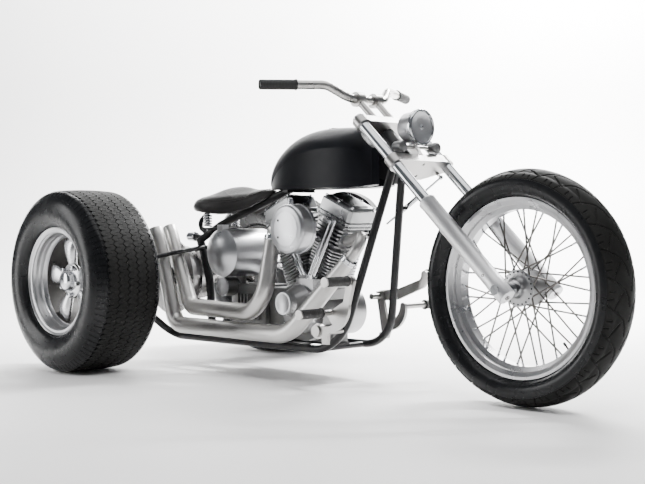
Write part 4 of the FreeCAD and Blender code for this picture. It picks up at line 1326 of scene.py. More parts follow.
@dataclass
class Saddle:
    """Solo saddle: a rolled skirt and a stitched top with a woven panel.

    Attributes:
        middle: The place along the trike about which the pad's rings shrink.
        line: Outline of the saddle as (x, half width).
        skirt: Rings below the seam as (size in plan, share of the skirt's height).
        dome: Rings above the seam as (size in plan, share of the top's height).
        seams: Heights of the seam as (x, height).
        tops: Heights of the top as (x, height).
        bases: Heights of the lower edge as (x, height).
        most: How far the cloth may move, in metres.
        stitch_count: How many stitches there are.
        stitch: A stitch's section as (radius, along).
        panel: The woven panel as (middle along the trike, half length, half width).
    """

    middle: float = 330.0
    line: Profile = ((136, 0), (138, 28), (147, 62), (165, 92), (195, 114), (235, 126),
                     (280, 128), (325, 120), (370, 104), (415, 82), (460, 62), (505, 48),
                     (540, 34), (560, 16), (566, 0))
    skirt: Profile = ((0.84, 0.06), (0.97, 0.0), (1.01, 0.16), (1.02, 0.45), (1.005, 0.74),
                      (0.975, 0.94), (0.95, 1.0))
    dome: Profile = ((0.945, 0.02), (0.935, 0.09), (0.90, 0.22), (0.84, 0.33), (0.77, 0.41),
                     (0.70, 0.47), (0.62, 0.55), (0.50, 0.70), (0.38, 0.84), (0.26, 0.93),
                     (0.14, 0.985), (0.05, 1.0))
    seams: Profile = ((136, 663), (235, 659), (325, 655), (390, 656), (460, 671), (505, 690),
                      (540, 702), (566, 709))
    tops: Profile = ((136, 690), (220, 702), (262, 705), (318, 714), (385, 720), (460, 721),
                     (520, 722), (566, 718))
    bases: Profile = ((136, 620), (180, 620), (235, 615), (280, 609), (325, 606), (370, 608),
                      (415, 616), (460, 630), (505, 649), (540, 669), (566, 687))
    most: float = 0.003
    stitch_count: int = 96
    stitch: Profile = ((0, -2.6), (0.9, -2.0), (1.1, 0), (0.9, 2.0), (0, 2.6))
    panel: Point = (405.0, 120.0, 76.0)

    def height(self, x: float, share: float, above: bool) -> float:
        """Height of the pad.

        Args:
            x: Place along the trike.
            share: Share of the skirt's height, or of the top's height above the seam.
            above: Whether it is above the seam.

        Returns:
            The height.
        """
        seam = read_table(self.seams, x)
        if above:
            return seam + (read_table(self.tops, x) - seam) * share
        base = read_table(self.bases, x)
        return base + (seam - base) * share

    def ring(self, size: float, share: float, above: bool) -> list[Vector]:
        """A ring round the pad.

        Args:
            size: Its size in plan, as a share of the outline.
            share: Its height, as a share of the skirt or of the top.
            above: Whether it is above the seam.

        Returns:
            Its points.
        """
        loop = list(self.line) + [(x, -y) for x, y in reversed(self.line[1:-1])]
        points = []
        for x, y in loop:
            px, py = self.middle + (x - self.middle) * size, y * size
            points.append(place(px, py, self.height(px, share, above)))
        return points

    def build(self) -> None:
        """Builds the saddle, its stitches and its woven panel."""
        pad = Bench.loft([self.ring(size, share, False) for size, share in self.skirt]
                         + [self.ring(size, share, True) for size, share in self.dome])
        pad = self.swell(pad)
        Bench.finish(pad, "saddle_pad", LEATHER, 60)
        self.weave(pad)
        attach(pad, "chassis")
        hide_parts("seat")
        piping = Bench.wire(self.ring(0.952, 1.0, False), 1.6, "saddle_piping", LEATHER, True)
        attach(piping, "chassis")
        self.stitches()
        LOG.info("saddle")

    def weave(self, pad: bpy.types.Object) -> None:
        """Gives the dished middle of the top its woven finish.

        Args:
            pad: The saddle's pad.
        """
        middle, half_long, half_wide = self.panel
        pad.data.materials.append(WEAVE.material())
        for face in pad.data.polygons:
            x = (face.center.x + CENTRE_X) / MM
            y = abs(face.center.y) / MM
            reach = half_wide * math.sqrt(max(0.0, 1 - ((x - middle) / half_long) ** 2))
            if face.normal.z > 0.5 and y < reach:
                face.material_index = 1

    def stitches(self) -> None:
        """A row of short stitches above the seam."""
        loop = self.ring(0.925, 0.16, True)
        total = sum((b - a).length for a, b in zip(loop, loop[1:] + loop[:1]))
        spots, gone, want = [], 0.0, 0.0
        for a, b in zip(loop, loop[1:] + loop[:1]):
            length = (b - a).length
            while want < gone + length:
                spots.append((a + (b - a) * ((want - gone) / length), (b - a).normalized()))
                want += total / self.stitch_count
            gone += length
        made = [Bench.turned(self.stitch, spot, along, 6) for spot, along in spots]
        thread = Bench.finish(Bench.join(made), "saddle_stitches", THREAD, 60)
        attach(thread, "chassis")

    def swell(self, pad: bpy.types.Object) -> bpy.types.Object:
        """Fills the pad as foam does, by a short cloth simulation under pressure.

        Args:
            pad: The sewn shape.

        Returns:
            The filled pad.
        """
        Bench.modifier(pad, "SUBSURF", levels=2, render_levels=2)
        Bench.modifier(pad, "REMESH", mode="VOXEL", voxel_size=0.005)
        rest = [v.co.copy() for v in pad.data.vertices]
        Bench.only(pad)
        bpy.ops.object.modifier_add(type="CLOTH")
        cloth = pad.modifiers[-1]
        cloth.settings.use_pressure = True
        cloth.settings.uniform_pressure_force = 4.0
        cloth.settings.effector_weights.gravity = 0.0
        for frame in range(1, 21):
            bpy.context.scene.frame_set(frame)
        graph = bpy.context.evaluated_depsgraph_get()
        shaped = pad.evaluated_get(graph).to_mesh()
        moved = []
        for before, vertex in zip(rest, shaped.vertices):
            step = vertex.co - before
            moved.append(before + step.normalized() * min(step.length, self.most))
        pad.evaluated_get(graph).to_mesh_clear()
        pad.modifiers.clear()
        for vertex, where in zip(pad.data.vertices, moved):
            vertex.co = where
        bpy.context.scene.frame_set(1)
        Bench.modifier(pad, "SUBSURF", levels=1, render_levels=1)
        return pad


@dataclass
class CoilSprings:
    """The two coil springs under the saddle.

    Attributes:
        turns: Turns of each spring.
        radius: Radius of the coil's middle line.
        wire_r: Radius of the wire.
        at_x: Place along the trike.
        at_y: Distance from the trike's middle.
        low: Height of the lower end.
        high: Height of the upper end.
    """

    turns: int = 5
    radius: float = 15.0
    wire_r: float = 3.4
    at_x: float = 232.0
    at_y: float = 72.0
    low: float = 560.0
    high: float = 612.0

    def build(self) -> None:
        """Builds each spring from its helix."""
        per_turn = 12
        count = self.turns * per_turn
        for side, word in SIDES:
            points = []
            for step in range(count + 1):
                angle = 2 * math.pi * step / per_turn
                rise = self.low + (self.high - self.low) * step / count
                points.append(place(self.at_x + self.radius * math.cos(angle),
                                    side * self.at_y + self.radius * math.sin(angle), rise))
            coil = Bench.wire(points, self.wire_r, f"coil_spring_{word}", CHROME)
            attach(coil, "chassis")
            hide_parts(f"seat_spring_{word}")
        LOG.info("springs")


@dataclass
class RockerBox:
    """Rocker box in layers with rounded edges, and its cap screws.

    Attributes:
        lean: 1 for the front cylinder, -1 for the rear one.
        crank: The crank's x and height, where the cylinders' axes meet.
        half_angle: Angle of each cylinder from upright, in degrees.
        layers: The layers as (half length, half width, low, high, corner, narrowing).
    """

    lean: int
    crank: Pair = (810.0, 245.0)
    half_angle: float = 22.5
    layers: tuple[tuple[float, ...], ...] = (
        (83, 70, 362, 369, 8, 0), (79, 66, 369, 377, 8, 0), (86, 73, 377, 385, 9, 0),
        (84, 71, 387, 430, 11, 2), (78, 65, 430, 440, 10, 6), (60, 44, 440, 443, 8, 2))

    def at(self, x: float, y: float, z: float) -> Vector:
        """A point given in the cylinder's own directions, from the crank.

        Args:
            x: Square to the cylinder's axis, forward.
            y: To the rider's left.
            z: Along the cylinder's axis.

        Returns:
            The point in the frame.
        """
        angle = self.lean * math.radians(self.half_angle)
        return place(self.crank[0] + x * math.cos(angle) + z * math.sin(angle), y,
                     self.crank[1] - x * math.sin(angle) + z * math.cos(angle))

    def ring(self, half_x: float, half_y: float, z: float, corner: float) -> list[Vector]:
        """An oblong loop with cut corners.

        Args:
            half_x: Half its length.
            half_y: Half its width.
            z: Its distance from the crank.
            corner: How much is cut off each corner.

        Returns:
            Its corners.
        """
        cut_x, cut_y = half_x - corner, half_y - corner
        flat = [(half_x, -cut_y), (half_x, cut_y), (cut_x, half_y), (-cut_x, half_y),
                (-half_x, cut_y), (-half_x, -cut_y), (-cut_x, -half_y), (cut_x, -half_y)]
        return [self.at(x, y, z) for x, y in flat]

    def layer(self, half_x: float, half_y: float, low: float, high: float, corner: float,
              narrower: float) -> bpy.types.Object:
        """One layer: a plate with cut corners, a little narrower above.

        Args:
            half_x: Half its length below.
            half_y: Half its width below.
            low: Distance of its underside from the crank.
            high: Distance of its top from the crank.
            corner: How much is cut off each corner.
            narrower: How much narrower it is above.

        Returns:
            The layer.
        """
        return Bench.loft([self.ring(half_x, half_y, low, corner),
                           self.ring(half_x - narrower, half_y - narrower, high, corner)])

    def build(self) -> None:
        """Builds the box and its screws."""
        word = "front" if self.lean > 0 else "rear"
        box = Bench.join([self.layer(*sizes) for sizes in self.layers])
        Bench.bevel(box, 2.2, 3, 25)
        Bench.finish(box, f"rocker_{word}", ROCKER_ALLOY, 50)
        Bench.flatten(box)
        axis = (self.at(0, 0, 1) - self.at(0, 0, 0)).normalized()
        spots = [self.at(x, y, 436) for x in (-68, 0, 68) for y in (-56, 56)]
        screws = Bench.screws(spots, axis, 5.5, 6)
        Bench.finish(screws, f"rocker_screws_{word}", CHROME, 40)
        for piece in (box, screws):
            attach(piece, "chassis")
        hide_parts(f"rocker_box_{word}")
        LOG.info("rocker box %s", word)


@dataclass
class EngineTrim:
    """Screws and caps of the engine's right side.

    Attributes:
        nose: Middle of the timing cover's nose as (x, height).
        cover: Middle of the timing cover as (x, height).
        gearbox: Middle of the gearbox's end as (x, height).
        nose_cap: Section of the cap on the nose.
        end_cap: Section of the cap on the gearbox.
    """

    nose: Pair = (838.0, 286.0)
    cover: Pair = (815.0, 250.0)
    gearbox: Pair = (400.0, 327.0)
    nose_cap: Profile = ((0, 0), (40, 0), (41, -2), (40, -4.5), (34, -5), (30, -3.2), (0, -3.0))
    end_cap: Profile = ((0, 0), (36, 0), (37, -2), (36, -5), (30, -6), (0, -9))

    @staticmethod
    def circle(centre: Pair, y: float, radius: float, degrees: Sequence[float]) -> list[Vector]:
        """Places on a circle that faces sideways.

        Args:
            centre: Its middle as (x, height).
            y: Its distance from the trike's middle, to the left.
            radius: Its radius.
            degrees: The places' angles.

        Returns:
            The places.
        """
        return [place(centre[0] + radius * math.cos(a), y, centre[1] + radius * math.sin(a))
                for a in map(math.radians, degrees)]

    def build(self) -> None:
        """Builds each small piece."""
        nose_spots = self.circle(self.nose, -128, 58, range(20, 380, 60))
        cover_spots = self.circle(self.cover, -118, 76, (150, 185, 215, 245, 275))
        for name, spots, radius in (("nose_screws", nose_spots, 4.5),
                                    ("cover_screws", cover_spots, 5)):
            screws = Bench.finish(Bench.screws(spots, -AXIS_Y, radius, 5), name, CHROME, 40)
            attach(screws, "chassis")
        for name, section, (x, z), y in (("timing_cap", self.nose_cap, self.nose, -200),
                                         ("gearbox_cap", self.end_cap, self.gearbox, -128)):
            cap = Bench.turned(section, place(x, y, z), AXIS_Y, 48)
            Bench.finish(cap, name, BRUSHED_ALLOY, 30)
            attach(cap, "chassis")
        LOG.info("engine trim")


@dataclass
class Exhaust:
    """A thin header and a pipe that swells to its run and narrows up its stack.

    Attributes:
        name: The node that it stands for.
        header: Corners of the header.
        header_bend: Radius of the header's bend.
        corners: Start of the pipe, its two bends and the stack's top.
        start_r: Radius where the pipe begins.
        bends: Radii of the two bends.
        run_r: Radius of the run between the bends.
        stack_r: Radius of the stack.
        bore: Radius of the stack's hole.
        ring: Section of the ring where the pipe begins, as (radius past the pipe's, along).
    """

    name: str
    header: list[Point]
    header_bend: float
    corners: list[Point]
    start_r: float
    bends: Pair
    run_r: float = 32.0
    stack_r: float = 28.5
    bore: float = 26.0
    ring: Profile = ((-4, -8), (2.5, -8), (4.5, -6), (4.5, -2), (3, -1), (3, 4), (4.5, 5),
                     (4.5, 10), (2.5, 12), (-4, 12))

    def build(self) -> None:
        """Builds the header, its collar and the pipe."""
        head = Bench.pipe(Bench.bent([place(*c) for c in self.header], [self.header_bend]),
                          [(0, 20), (1, 20)])
        start, first, second, top = (place(*c) for c in self.corners)
        line = Bench.bent([start, first, second, top], self.bends)
        total = sum((b - a).length for a, b in zip(line, line[1:])) / MM
        widen = (first - start).length / MM - self.bends[0] * 1.09
        narrow = total - (top - second).length / MM + self.bends[1] * 0.8
        main = [start + (line[1] - start) * (k / 6) for k in range(6)] + line[1:-1]
        main += [line[-2] + (top - line[-2]) * (k / 10) for k in range(1, 11)]
        pipe = Bench.pipe(main, [(0, self.start_r), (widen, self.run_r), (narrow, self.run_r),
                                 (narrow + 120, self.stack_r), (total, self.stack_r)], self.bore)
        ring = Bench.turned([(self.start_r + more, reach) for more, reach in self.ring], start,
                            (first - start).normalized(), 48)
        both = Bench.finish(Bench.join([head, pipe]), self.name + "_pipe", PIPE_STEEL, 45)
        Bench.finish(ring, self.name + "_ring", CHROME, 35)
        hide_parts(self.name)
        for piece in (both, ring):
            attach(piece, "chassis")
        LOG.info(self.name)


def front_exhaust() -> Exhaust:
    """The front cylinder's exhaust, which runs low along the frame.

    Returns:
        The exhaust.
    """
    return Exhaust("exhaust_front", [(1020, -56, 509), (1186, -124, 538), (1122, -150, 447)], 42,
                   [(1122, -150, 447), (867, -202, 174), (190, -202, 172), (54, -200, 555)], 25,
                   (150, 62))


def rear_exhaust() -> Exhaust:
    """The rear cylinder's exhaust, which starts at the port under its rocker box.

    Returns:
        The exhaust.
    """
    port = RockerBox(-1).at(14, -86, 322)
    x, y, z = (port.x + CENTRE_X) / MM, port.y / MM, port.z / MM
    return Exhaust("exhaust_rear", [(x, y, z), (x, y - 50, z), (722.6, -150.8, 508.3)], 30,
                   [(722, -148, 520), (735, -214, 245), (219, -150, 240), (46, -127, 559)], 28.5,
                   (112, 55))


@dataclass
class Sliders:
    """The two lower fork legs, each a bored bar with its end plug and screws.

    Attributes:
        leg: A leg's section as (radius, distance up the fork from the axle).
    """

    leg: Profile = ((0, -36), (24, -36), (28, -34.5), (29, -31), (29, 30), (28.2, 33),
                    (28.2, 392), (29.2, 393.5), (29.2, 400), (27, 402.5), (20, 402.5),
                    (20, 390), (0, 390))

    @staticmethod
    def fixings(foot: Vector, outwards: Vector) -> bpy.types.Object:
        """The end plug, the pinch screws behind the leg and the screws beside it.

        Args:
            foot: Where the leg meets the axle.
            outwards: Away from the wheel.

        Returns:
            The fixings, joined.
        """
        plug = Bench.screws([foot - UP_FORK * (36 * MM)], -UP_FORK, 8.5, 3.0)
        pinch = Bench.screws([foot - AHEAD * (26.6 * MM) + UP_FORK * (z * MM)
                              for z in (-22, 22)], -AHEAD, 5.0, 2.6)
        beside = Bench.screws([foot + outwards * (26 * MM) + UP_FORK * (z * MM)
                               for z in (-20, 62)], outwards, 5.2, 2.4)
        return Bench.join([plug, pinch, beside])

    def build(self) -> None:
        """Builds both legs."""
        for side, word in SIDES:
            foot = fork_place(0, side * FORK_Y, 0)
            leg = Bench.turned(self.leg, foot, UP_FORK, 64)
            Bench.finish(leg, f"slider_{word}", SLIDER_ALLOY, 35)
            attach(leg, "steering")
            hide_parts(f"fork_slider_{word}")
            fixings = Bench.finish(self.fixings(foot, AXIS_Y * side), f"slider_screws_{word}",
                                   STEEL, 40)
            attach(fixings, "steering")
        LOG.info("sliders")


@dataclass
class Cleaner:
    """Round air cleaner: a turned drum with a soft edge, two screws and a post.

    Attributes:
        x: Its middle along the trike.
        z: Its middle's height.
        face_y: Its face.
        drum: The drum's section, from its face.
        post: The post's section, from its foot.
    """

    x: float = 878.0
    z: float = 553.0
    face_y: float = -225.0
    drum: Profile = ((0, 1.2), (60, 1.2), (63, 0.6), (65, 0.0), (76, -0.4), (81, -1.8),
                     (85.4, -5), (88, -9.5), (88.5, -14), (88.5, -50), (87.4, -51.5),
                     (87.4, -54), (89.4, -55.5), (89.4, -66), (87, -68), (0, -68))
    post: Profile = ((0, 0), (9, 0), (9, 22), (7.5, 24), (0, 24))

    def build(self) -> None:
        """Builds the drum and its fittings."""
        out = -AXIS_Y
        drum = Bench.turned(self.drum, place(self.x, self.face_y, self.z), out, 128)
        Bench.finish(drum, "cleaner_drum", BRUSHED_ALLOY, 30)
        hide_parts("air_cleaner")
        spots = [place(self.x - 38, self.face_y - 1.2, self.z + rise) for rise in (30, -30)]
        screws = Bench.screws(spots, out, 4.0, 1.4)
        # The screws get the dark finish, which paints the shade of their holes.
        Bench.finish(screws, "cleaner_screws", PAINTED_SHADE_DARK, 40)
        post = Bench.turned(self.post, place(self.x - 16, -185, self.z + 86), AXIS_Z, 24)
        Bench.finish(post, "cleaner_post", CHROME, 35)
        for piece in (drum, screws, post):
            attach(piece, "chassis")
        LOG.info("air cleaner")


@dataclass
class HeadLamp:
    """Reflector, bulb shield and bright ring of the headlamp.

    Attributes:
        x: Its rim along the trike.
        z: Its middle's height.
        reflector: The reflector's section, from the rim.
        shield: The bulb shield's section, from the rim.
        lip: The ring's section, from the rim.
    """

    x: float = 1322.0
    z: float = 896.0
    reflector: Profile = ((0, -7.6), (9, -7.4), (9, -5), (30, -5.8), (46, -4.2), (52.8, -1.6),
                          (53.2, -7.6), (0, -7.9))
    shield: Profile = ((0, -5.5), (7, -5.5), (7.5, -2), (5, 2), (0, 3.2))
    lip: Profile = ((53.6, -8), (61.8, -9), (62.4, -4), (61.8, 1.5), (59, 4.2), (55.2, 4.0),
                    (53.6, 1.2))

    def build(self) -> None:
        """Builds the three pieces."""
        centre = place(self.x, 0, self.z)
        for name, section, finish, steps in (("reflector", self.reflector, REFLECTOR, 64),
                                             ("bulb_shield", self.shield, CHROME, 24),
                                             ("headlamp_ring", self.lip, CHROME, 96)):
            made = Bench.turned(section, centre, Vector((1.0, 0.0, 0.0)), steps)
            Bench.finish(made, name, finish, 40)
            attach(made, "steering")
        LOG.info("headlamp")


@dataclass
class Glass:
    """Clear, slightly rippled lamp glass."""

    name: str = "lamp_glass"

    def material(self) -> bpy.types.Material:
        """Builds the glass.

        Returns:
            The material.
        """
        made = bpy.data.materials.new(self.name)
        made.use_nodes = True
        tree = made.node_tree
        shader = tree.nodes["Principled BSDF"]
        shader.inputs["Transmission Weight"].default_value = 1.0
        shader.inputs["IOR"].default_value = 1.12
        coords = tree.nodes.new("ShaderNodeTexCoord")
        wave = tree.nodes.new("ShaderNodeTexWave")
        wave.bands_direction = "Y"
        wave.inputs["Scale"].default_value = 40.0
        tree.links.new(coords.outputs["Object"], wave.inputs["Vector"])
        bump = tree.nodes.new("ShaderNodeBump")
        bump.inputs["Strength"].default_value = 0.35
        bump.inputs["Distance"].default_value = 0.002
        tree.links.new(wave.outputs["Fac"], bump.inputs["Height"])
        tree.links.new(bump.outputs[0], shader.inputs["Normal"])
        ramp = tree.nodes.new("ShaderNodeMapRange")
        ramp.inputs["To Min"].default_value = 0.02
        ramp.inputs["To Max"].default_value = 0.10
        tree.links.new(wave.outputs["Fac"], ramp.inputs["Value"])
        tree.links.new(ramp.outputs[0], shader.inputs["Roughness"])
        return made


@dataclass
class Rubbers:
    """Ribbed rubber sleeves on the bar's ends and the pegs.

    Attributes:
        bar_end: End of the left grip, mirrored on the right.
        bar_knee: Where the bar's last straight begins.
        pegs: The pegs as (name, side, x, height, inner end, outer end).
    """

    bar_end: Point = (914.0, 366.0, 1047.0)
    bar_knee: Point = (1018.0, 155.0, 1053.0)
    pegs: tuple[tuple[str, int, float, float, float, float], ...] = (
        ("peg_upper_right", -1, 1203, 381, 238, 339), ("peg_lower_right", -1, 1108, 271, 268, 366),
        ("peg_upper_left", 1, 1194, 389, 168, 268), ("peg_lower_left", 1, 1093, 270, 268, 366))

    def sleeve(self, name: str, body: str, start: Vector, end: Vector, radius: float,
               core: float, rib: float) -> None:
        """One ribbed sleeve between two points.

        Args:
            name: The node that it stands for.
            body: The body that it rides on.
            start: Its inner end.
            end: Its outer end.
            radius: Outer radius in millimetres.
            core: Radius of the hole.
            rib: Distance between ribs.
        """
        along = (end - start).normalized()
        length = (end - start).length / MM
        profile: list[Pair] = [(core, 0), (radius + 1.5, 0), (radius + 2.2, 2), (radius + 1.5, 5)]
        here = 6.0
        while here < length - 8:
            profile += [(radius - 0.9, here), (radius, here + 0.6), (radius, here + rib - 1.4),
                        (radius - 0.9, here + rib - 0.8)]
            here += rib
        profile += [(radius, length - 4), (radius - 1.5, length - 1), (core, length), (core, 0)]
        made = Bench.turned(profile, start, along, 40)
        Bench.finish(made, name + "_rubber", GRIP_RUBBER, 30)
        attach(made, body)
        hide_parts(name)

    def build(self) -> None:
        """Builds the sleeves of both grips and the four pegs."""
        for side, word in SIDES:
            end, knee = (place(x, side * y, z) for x, y, z in (self.bar_end, self.bar_knee))
            along = (knee - end).normalized()
            self.sleeve(f"grip_{word}", "steering", end + along * 0.128, end - along * 0.004,
                        17.6, 15.8, 5.2)
        for name, side, x, z, inner, outer in self.pegs:
            self.sleeve(name, "chassis", place(x, side * inner, z), place(x, side * outer, z),
                        16.2, 7.3, 8.0)
        LOG.info("rubbers")


@dataclass
class Chain:
    """Roller chain on the left, link by link.

    Attributes:
        pitch: Distance between two pins.
        y: Distance of its middle from the trike's middle.
        rear: The rear sprocket as (x, height, radius to the pins).
        front: The front sprocket, likewise.
        plate_r: Radius of a link plate's ends.
        plate_thick: Thickness of a link plate.
        roller: Section of a pin with its roller.
    """

    pitch: float = 15.875
    y: float = 62.0
    rear: Point = (0.0, REAR_R, 107.5)
    front: Point = (430.0, 268.0, 51.5)
    plate_r: float = 6.6
    plate_thick: float = 1.8
    roller: Profile = ((0, -7.8), (4.6, -7.8), (4.6, 7.8), (0, 7.8))

    @staticmethod
    def wrap(sprocket: Point, start: float, stop: float) -> list[Pair]:
        """The chain's way round a sprocket.

        Args:
            sprocket: The sprocket as (x, height, radius to the pins).
            start: Angle where the chain meets it.
            stop: Angle where it leaves.

        Returns:
            Points as (x, height).
        """
        x, z, radius = sprocket
        turns = [start + (stop - start) * k / 60 for k in range(61)]
        return [(x + radius * math.cos(t), z + radius * math.sin(t)) for t in turns]

    def path(self) -> list[Vector]:
        """The pins' places along the chain's loop.

        Returns:
            Points a pitch apart, as near as whole pairs of links allow.
        """
        (x0, z0, r0), (x1, z1, r1) = self.rear, self.front
        heading = math.atan2(z1 - z0, x1 - x0)
        turn = math.acos((r0 - r1) / math.hypot(x1 - x0, z1 - z0))
        dense = self.wrap(self.rear, heading + turn, heading + 2 * math.pi - turn)
        dense += self.wrap(self.front, heading - turn, heading + turn)
        dense.append(dense[0])
        total = sum(math.dist(a, b) for a, b in zip(dense, dense[1:]))
        links = 2 * round(total / self.pitch / 2)
        step = total / links
        pins, gone, want = [], 0.0, 0.0
        for a, b in zip(dense, dense[1:]):
            length = math.dist(a, b)
            while want <= gone + length and len(pins) < links:
                s = (want - gone) / max(length, 1e-9)
                pins.append(place(a[0] + (b[0] - a[0]) * s, self.y, a[1] + (b[1] - a[1]) * s))
                want += step
            gone += length
        return pins

    def outline(self, a: Vector, b: Vector) -> list[Vector]:
        """The round-ended outline of a link plate.

        Args:
            a: Its first pin.
            b: Its second pin.

        Returns:
            The outline's points.
        """
        along = (b - a).normalized()
        square = along.cross(AXIS_Y)
        points = []
        for end, way in ((a, -1), (b, 1)):
            for k in range(5):
                t = math.pi * (k / 4 - 0.5)
                points.append(end + along * (way * math.cos(t) * self.plate_r * MM)
                              + square * (way * math.sin(t) * self.plate_r * MM))
        return points

    def build(self) -> None:
        """Builds the plates and rollers."""
        points = self.path()
        pieces = []
        for number, (a, b) in enumerate(zip(points, points[1:] + points[:1])):
            outline = self.outline(a, b)
            apart = 4.6 if number % 2 else 6.8
            for way in (-1, 1):
                shift = AXIS_Y * (way * apart * MM)
                pieces.append(Bench.plate([p + shift - AXIS_Y * (self.plate_thick / 2 * MM)
                                           for p in outline], AXIS_Y * (self.plate_thick * MM)))
            pieces.append(Bench.turned(self.roller, a, AXIS_Y, 8))
        chain = Bench.join(pieces)
        Bench.finish(chain, "chain_links", CHAIN_STEEL, 30)
        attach(chain, "chassis")
        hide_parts("drive_chain")
        LOG.info("chain")


@dataclass(frozen=True)
class Lamp:
    """One rectangular lamp.

    Attributes:
        name: Its name; one that ends in _top isn't mirrored in the metal.
        where: Its place.
        aim: What it points at.
        width: Its width in metres.
        height: Its height in metres.
        power: Its power in watts.
    """

    name: str
    where: Vector
    aim: Vector
    width: float
    height: float
    power: float

    def hang(self) -> None:
        """Puts the lamp in the scene."""
        data = bpy.data.lights.new(self.name, "AREA")
        data.shape = "RECTANGLE"
        data.size = self.width
        data.size_y = self.height
        data.energy = self.power
        lamp = bpy.data.objects.new(self.name, data)
        bpy.context.scene.collection.objects.link(lamp)
        lamp.location = self.where
        lamp.rotation_mode = "QUATERNION"
        lamp.rotation_quaternion = (self.aim - self.where).to_track_quat("-Z", "Y")
        lamp.visible_glossy = not self.name.endswith("_top")


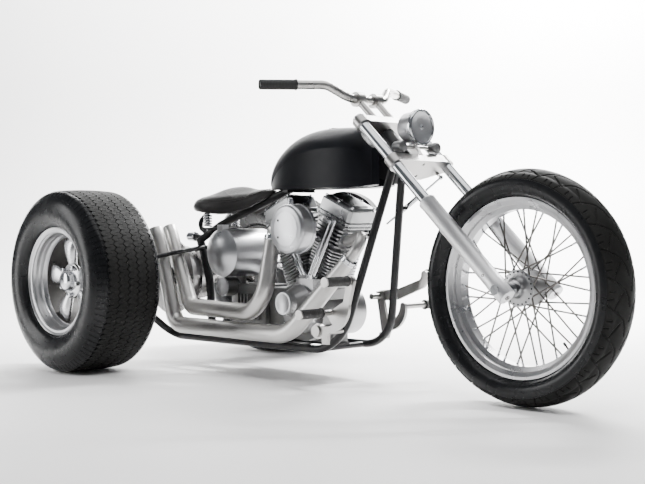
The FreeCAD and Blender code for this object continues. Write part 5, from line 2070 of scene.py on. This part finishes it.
@dataclass
class Studio:
    """Pale floor that sweeps up into a wall, soft light and the camera, all in metres.

    Attributes:
        yaw: The camera's turn from the trike's left, in radians.
        pitch: How far it looks down.
        roll: How far it leans.
        stand: Its place.
        lens: Its lens, in millimetres.
        half_width: Half the sweep's width.
        front: Where the sweep begins, before the middle.
        bend: Where the floor begins to rise, behind the middle.
        wall: Where the wall stands, behind the middle.
        wall_foot: Height at which the wall is upright.
        wall_top: The wall's height.
    """

    yaw: float = 0.814906
    pitch: float = 0.018820
    roll: float = -0.004812
    stand: Point = (2.97865, -2.8572, 0.5813)
    lens: float = 62.91
    half_width: float = 3.4
    front: float = -2.3
    bend: float = 2.6
    wall: float = 4.1
    wall_foot: float = 1.5
    wall_top: float = 5.0

    def at(self, ahead: float, aside: float, height: float) -> Vector:
        """A point of the room, seen as the camera stands.

        Args:
            ahead: Away from the camera, from the trike's middle.
            aside: To the camera's right.
            height: Up from the floor.

        Returns:
            The point in the frame.
        """
        forward = Vector((-math.sin(self.yaw), math.cos(self.yaw), 0.0))
        right = Vector((forward.y, -forward.x, 0.0))
        return forward * ahead + right * aside + Vector((0.0, 0.0, height))

    @staticmethod
    def paint() -> bpy.types.Material:
        """Pale paint that is clear from behind, so that the wall hides nothing.

        Returns:
            The material.
        """
        made = bpy.data.materials.new("pale_floor")
        made.use_nodes = True
        tree = made.node_tree
        shader = tree.nodes["Principled BSDF"]
        shader.inputs["Base Color"].default_value = (0.86, 0.855, 0.85, 1.0)
        shader.inputs["Roughness"].default_value = 0.55
        geometry = tree.nodes.new("ShaderNodeNewGeometry")
        clear = tree.nodes.new("ShaderNodeBsdfTransparent")
        mix = tree.nodes.new("ShaderNodeMixShader")
        tree.links.new(geometry.outputs["Backfacing"], mix.inputs[0])
        tree.links.new(shader.outputs[0], mix.inputs[1])
        tree.links.new(clear.outputs[0], mix.inputs[2])
        tree.links.new(mix.outputs[0], tree.nodes["Material Output"].inputs["Surface"])
        return made

    def room(self) -> None:
        """The sweep, just under the wheels, and a wide floor just under the sweep."""
        paint = self.paint()
        curve = arc((self.bend, 0.0), (3.66, 0.44), (self.wall, self.wall_foot), 14)
        line = [(self.front, 0.0), (0.0, 0.0), (self.bend, 0.0), *curve,
                (self.wall, self.wall_top)]
        sweep = Bench.strip([self.at(ahead, -self.half_width, height - 0.0006)
                             for ahead, height in line], self.at(0, 2 * self.half_width, 0))
        Bench.only(sweep)
        bpy.ops.object.shade_smooth()
        sweep.name = "studio_floor"
        sweep.data.materials.clear()
        sweep.data.materials.append(paint)
        Bench.clear()
        bpy.ops.mesh.primitive_circle_add(vertices=96, radius=11.0, fill_type="NGON",
                                          location=(0.0, 0.0, -0.002))
        ground = bpy.context.object
        ground.name = "studio_ground"
        ground.data.materials.append(paint)

    def light(self) -> None:
        """A dim bluish world, a tall lamp beside, four above and behind, and a ceiling."""
        world = bpy.data.worlds.new("studio")
        world.use_nodes = True
        world.node_tree.nodes["Background"].inputs[0].default_value = (0.92, 0.95, 1.0, 1.0)
        world.node_tree.nodes["Background"].inputs[1].default_value = 0.17
        bpy.context.scene.world = world
        lamps = [Lamp("key_side", Vector((-2.6, -2.7, 1.05)), Vector((0.0, -0.2, 0.5)),
                      1.2, 2.3, 55.0),
                 Lamp("ceiling", self.at(-0.5, 0, 3.3), Vector((0.0, 0.0, 0.0)), 3.2, 2.4, 50.0),
                 Lamp("back_top", self.at(2.0, 0, 3.0) + Vector((0.2, 0, 0)),
                      Vector((0.0, -0.2, 0.2)), 3.6, 0.8, 130.0),
                 Lamp("front_top", self.at(-2.4, 0.6, 3.2), Vector((0.2, 0, 0.0)),
                      1.2, 1.2, 110.0),
                 Lamp("wall_left", self.at(2.2, -1.5, 3.6), self.at(self.wall, -1.5, 1.3),
                      2.0, 0.8, 225.0),
                 Lamp("wall_right", self.at(2.2, 1.9, 3.6), self.at(self.wall, 1.9, 1.3),
                      2.0, 0.8, 1400.0)]
        for lamp in lamps:
            lamp.hang()

    def camera(self) -> None:
        """The camera, low on the trike's right and before it."""
        data = bpy.data.cameras.new("camera")
        data.lens = self.lens
        data.sensor_width = 36.0
        camera = bpy.data.objects.new("camera", data)
        bpy.context.scene.collection.objects.link(camera)
        turn = (Matrix.Rotation(self.yaw, 4, "Z")
                @ Matrix.Rotation(math.pi / 2 - self.pitch, 4, "X")
                @ Matrix.Rotation(self.roll, 4, "Z"))
        camera.matrix_world = Matrix.Translation(self.stand) @ turn
        bpy.context.scene.camera = camera

    def build(self) -> None:
        """Builds the room, hangs the lamps and sets up the camera."""
        self.room()
        self.light()
        self.camera()
        LOG.info("studio")


def dress_nodes(nodes: dict[str, bpy.types.Object]) -> None:
    """Gives every carried-over node its finish.

    Args:
        nodes: The frame's nodes by name.
    """
    glass = Glass().material()
    for name, node in nodes.items():
        if name == "headlamp_lens":
            chosen = glass
        else:
            keys = [key for key in NODE_FINISHES if name.startswith(key)]
            chosen = NODE_FINISHES[max(keys, key=len)].material()
        node.data.materials.clear()
        node.data.materials.append(chosen)


def write_sizes() -> None:
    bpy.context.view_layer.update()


def main() -> None:
    """Builds the classes in order."""
    logging.basicConfig(level=logging.INFO)
    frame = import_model()
    dress_nodes(frame["nodes"])
    for side, word in SIDES:
        RearTyre(f"rear_tyre_{word}", f"rear_wheel_{word}", place(0, side * REAR_Y, REAR_R),
                 REAR_CROWN, pitches=92, depth=5.0, edge=150.0).build()
        RearWheel(side).build()
    FrontTyre("front_tyre", "front_wheel", place(WHEELBASE, 0, FRONT_R), FRONT_CROWN,
              pitches=26, depth=3.6, edge=82.0, steps=156).build()
    FrontWheel().build()
    Saddle().build()
    CoilSprings().build()
    RockerBox(1).build()
    RockerBox(-1).build()
    EngineTrim().build()
    front_exhaust().build()
    rear_exhaust().build()
    Sliders().build()
    Cleaner().build()
    HeadLamp().build()
    Rubbers().build()
    Chain().build()
    Studio().build()
    write_sizes()


if __name__ == "__main__":
    main()
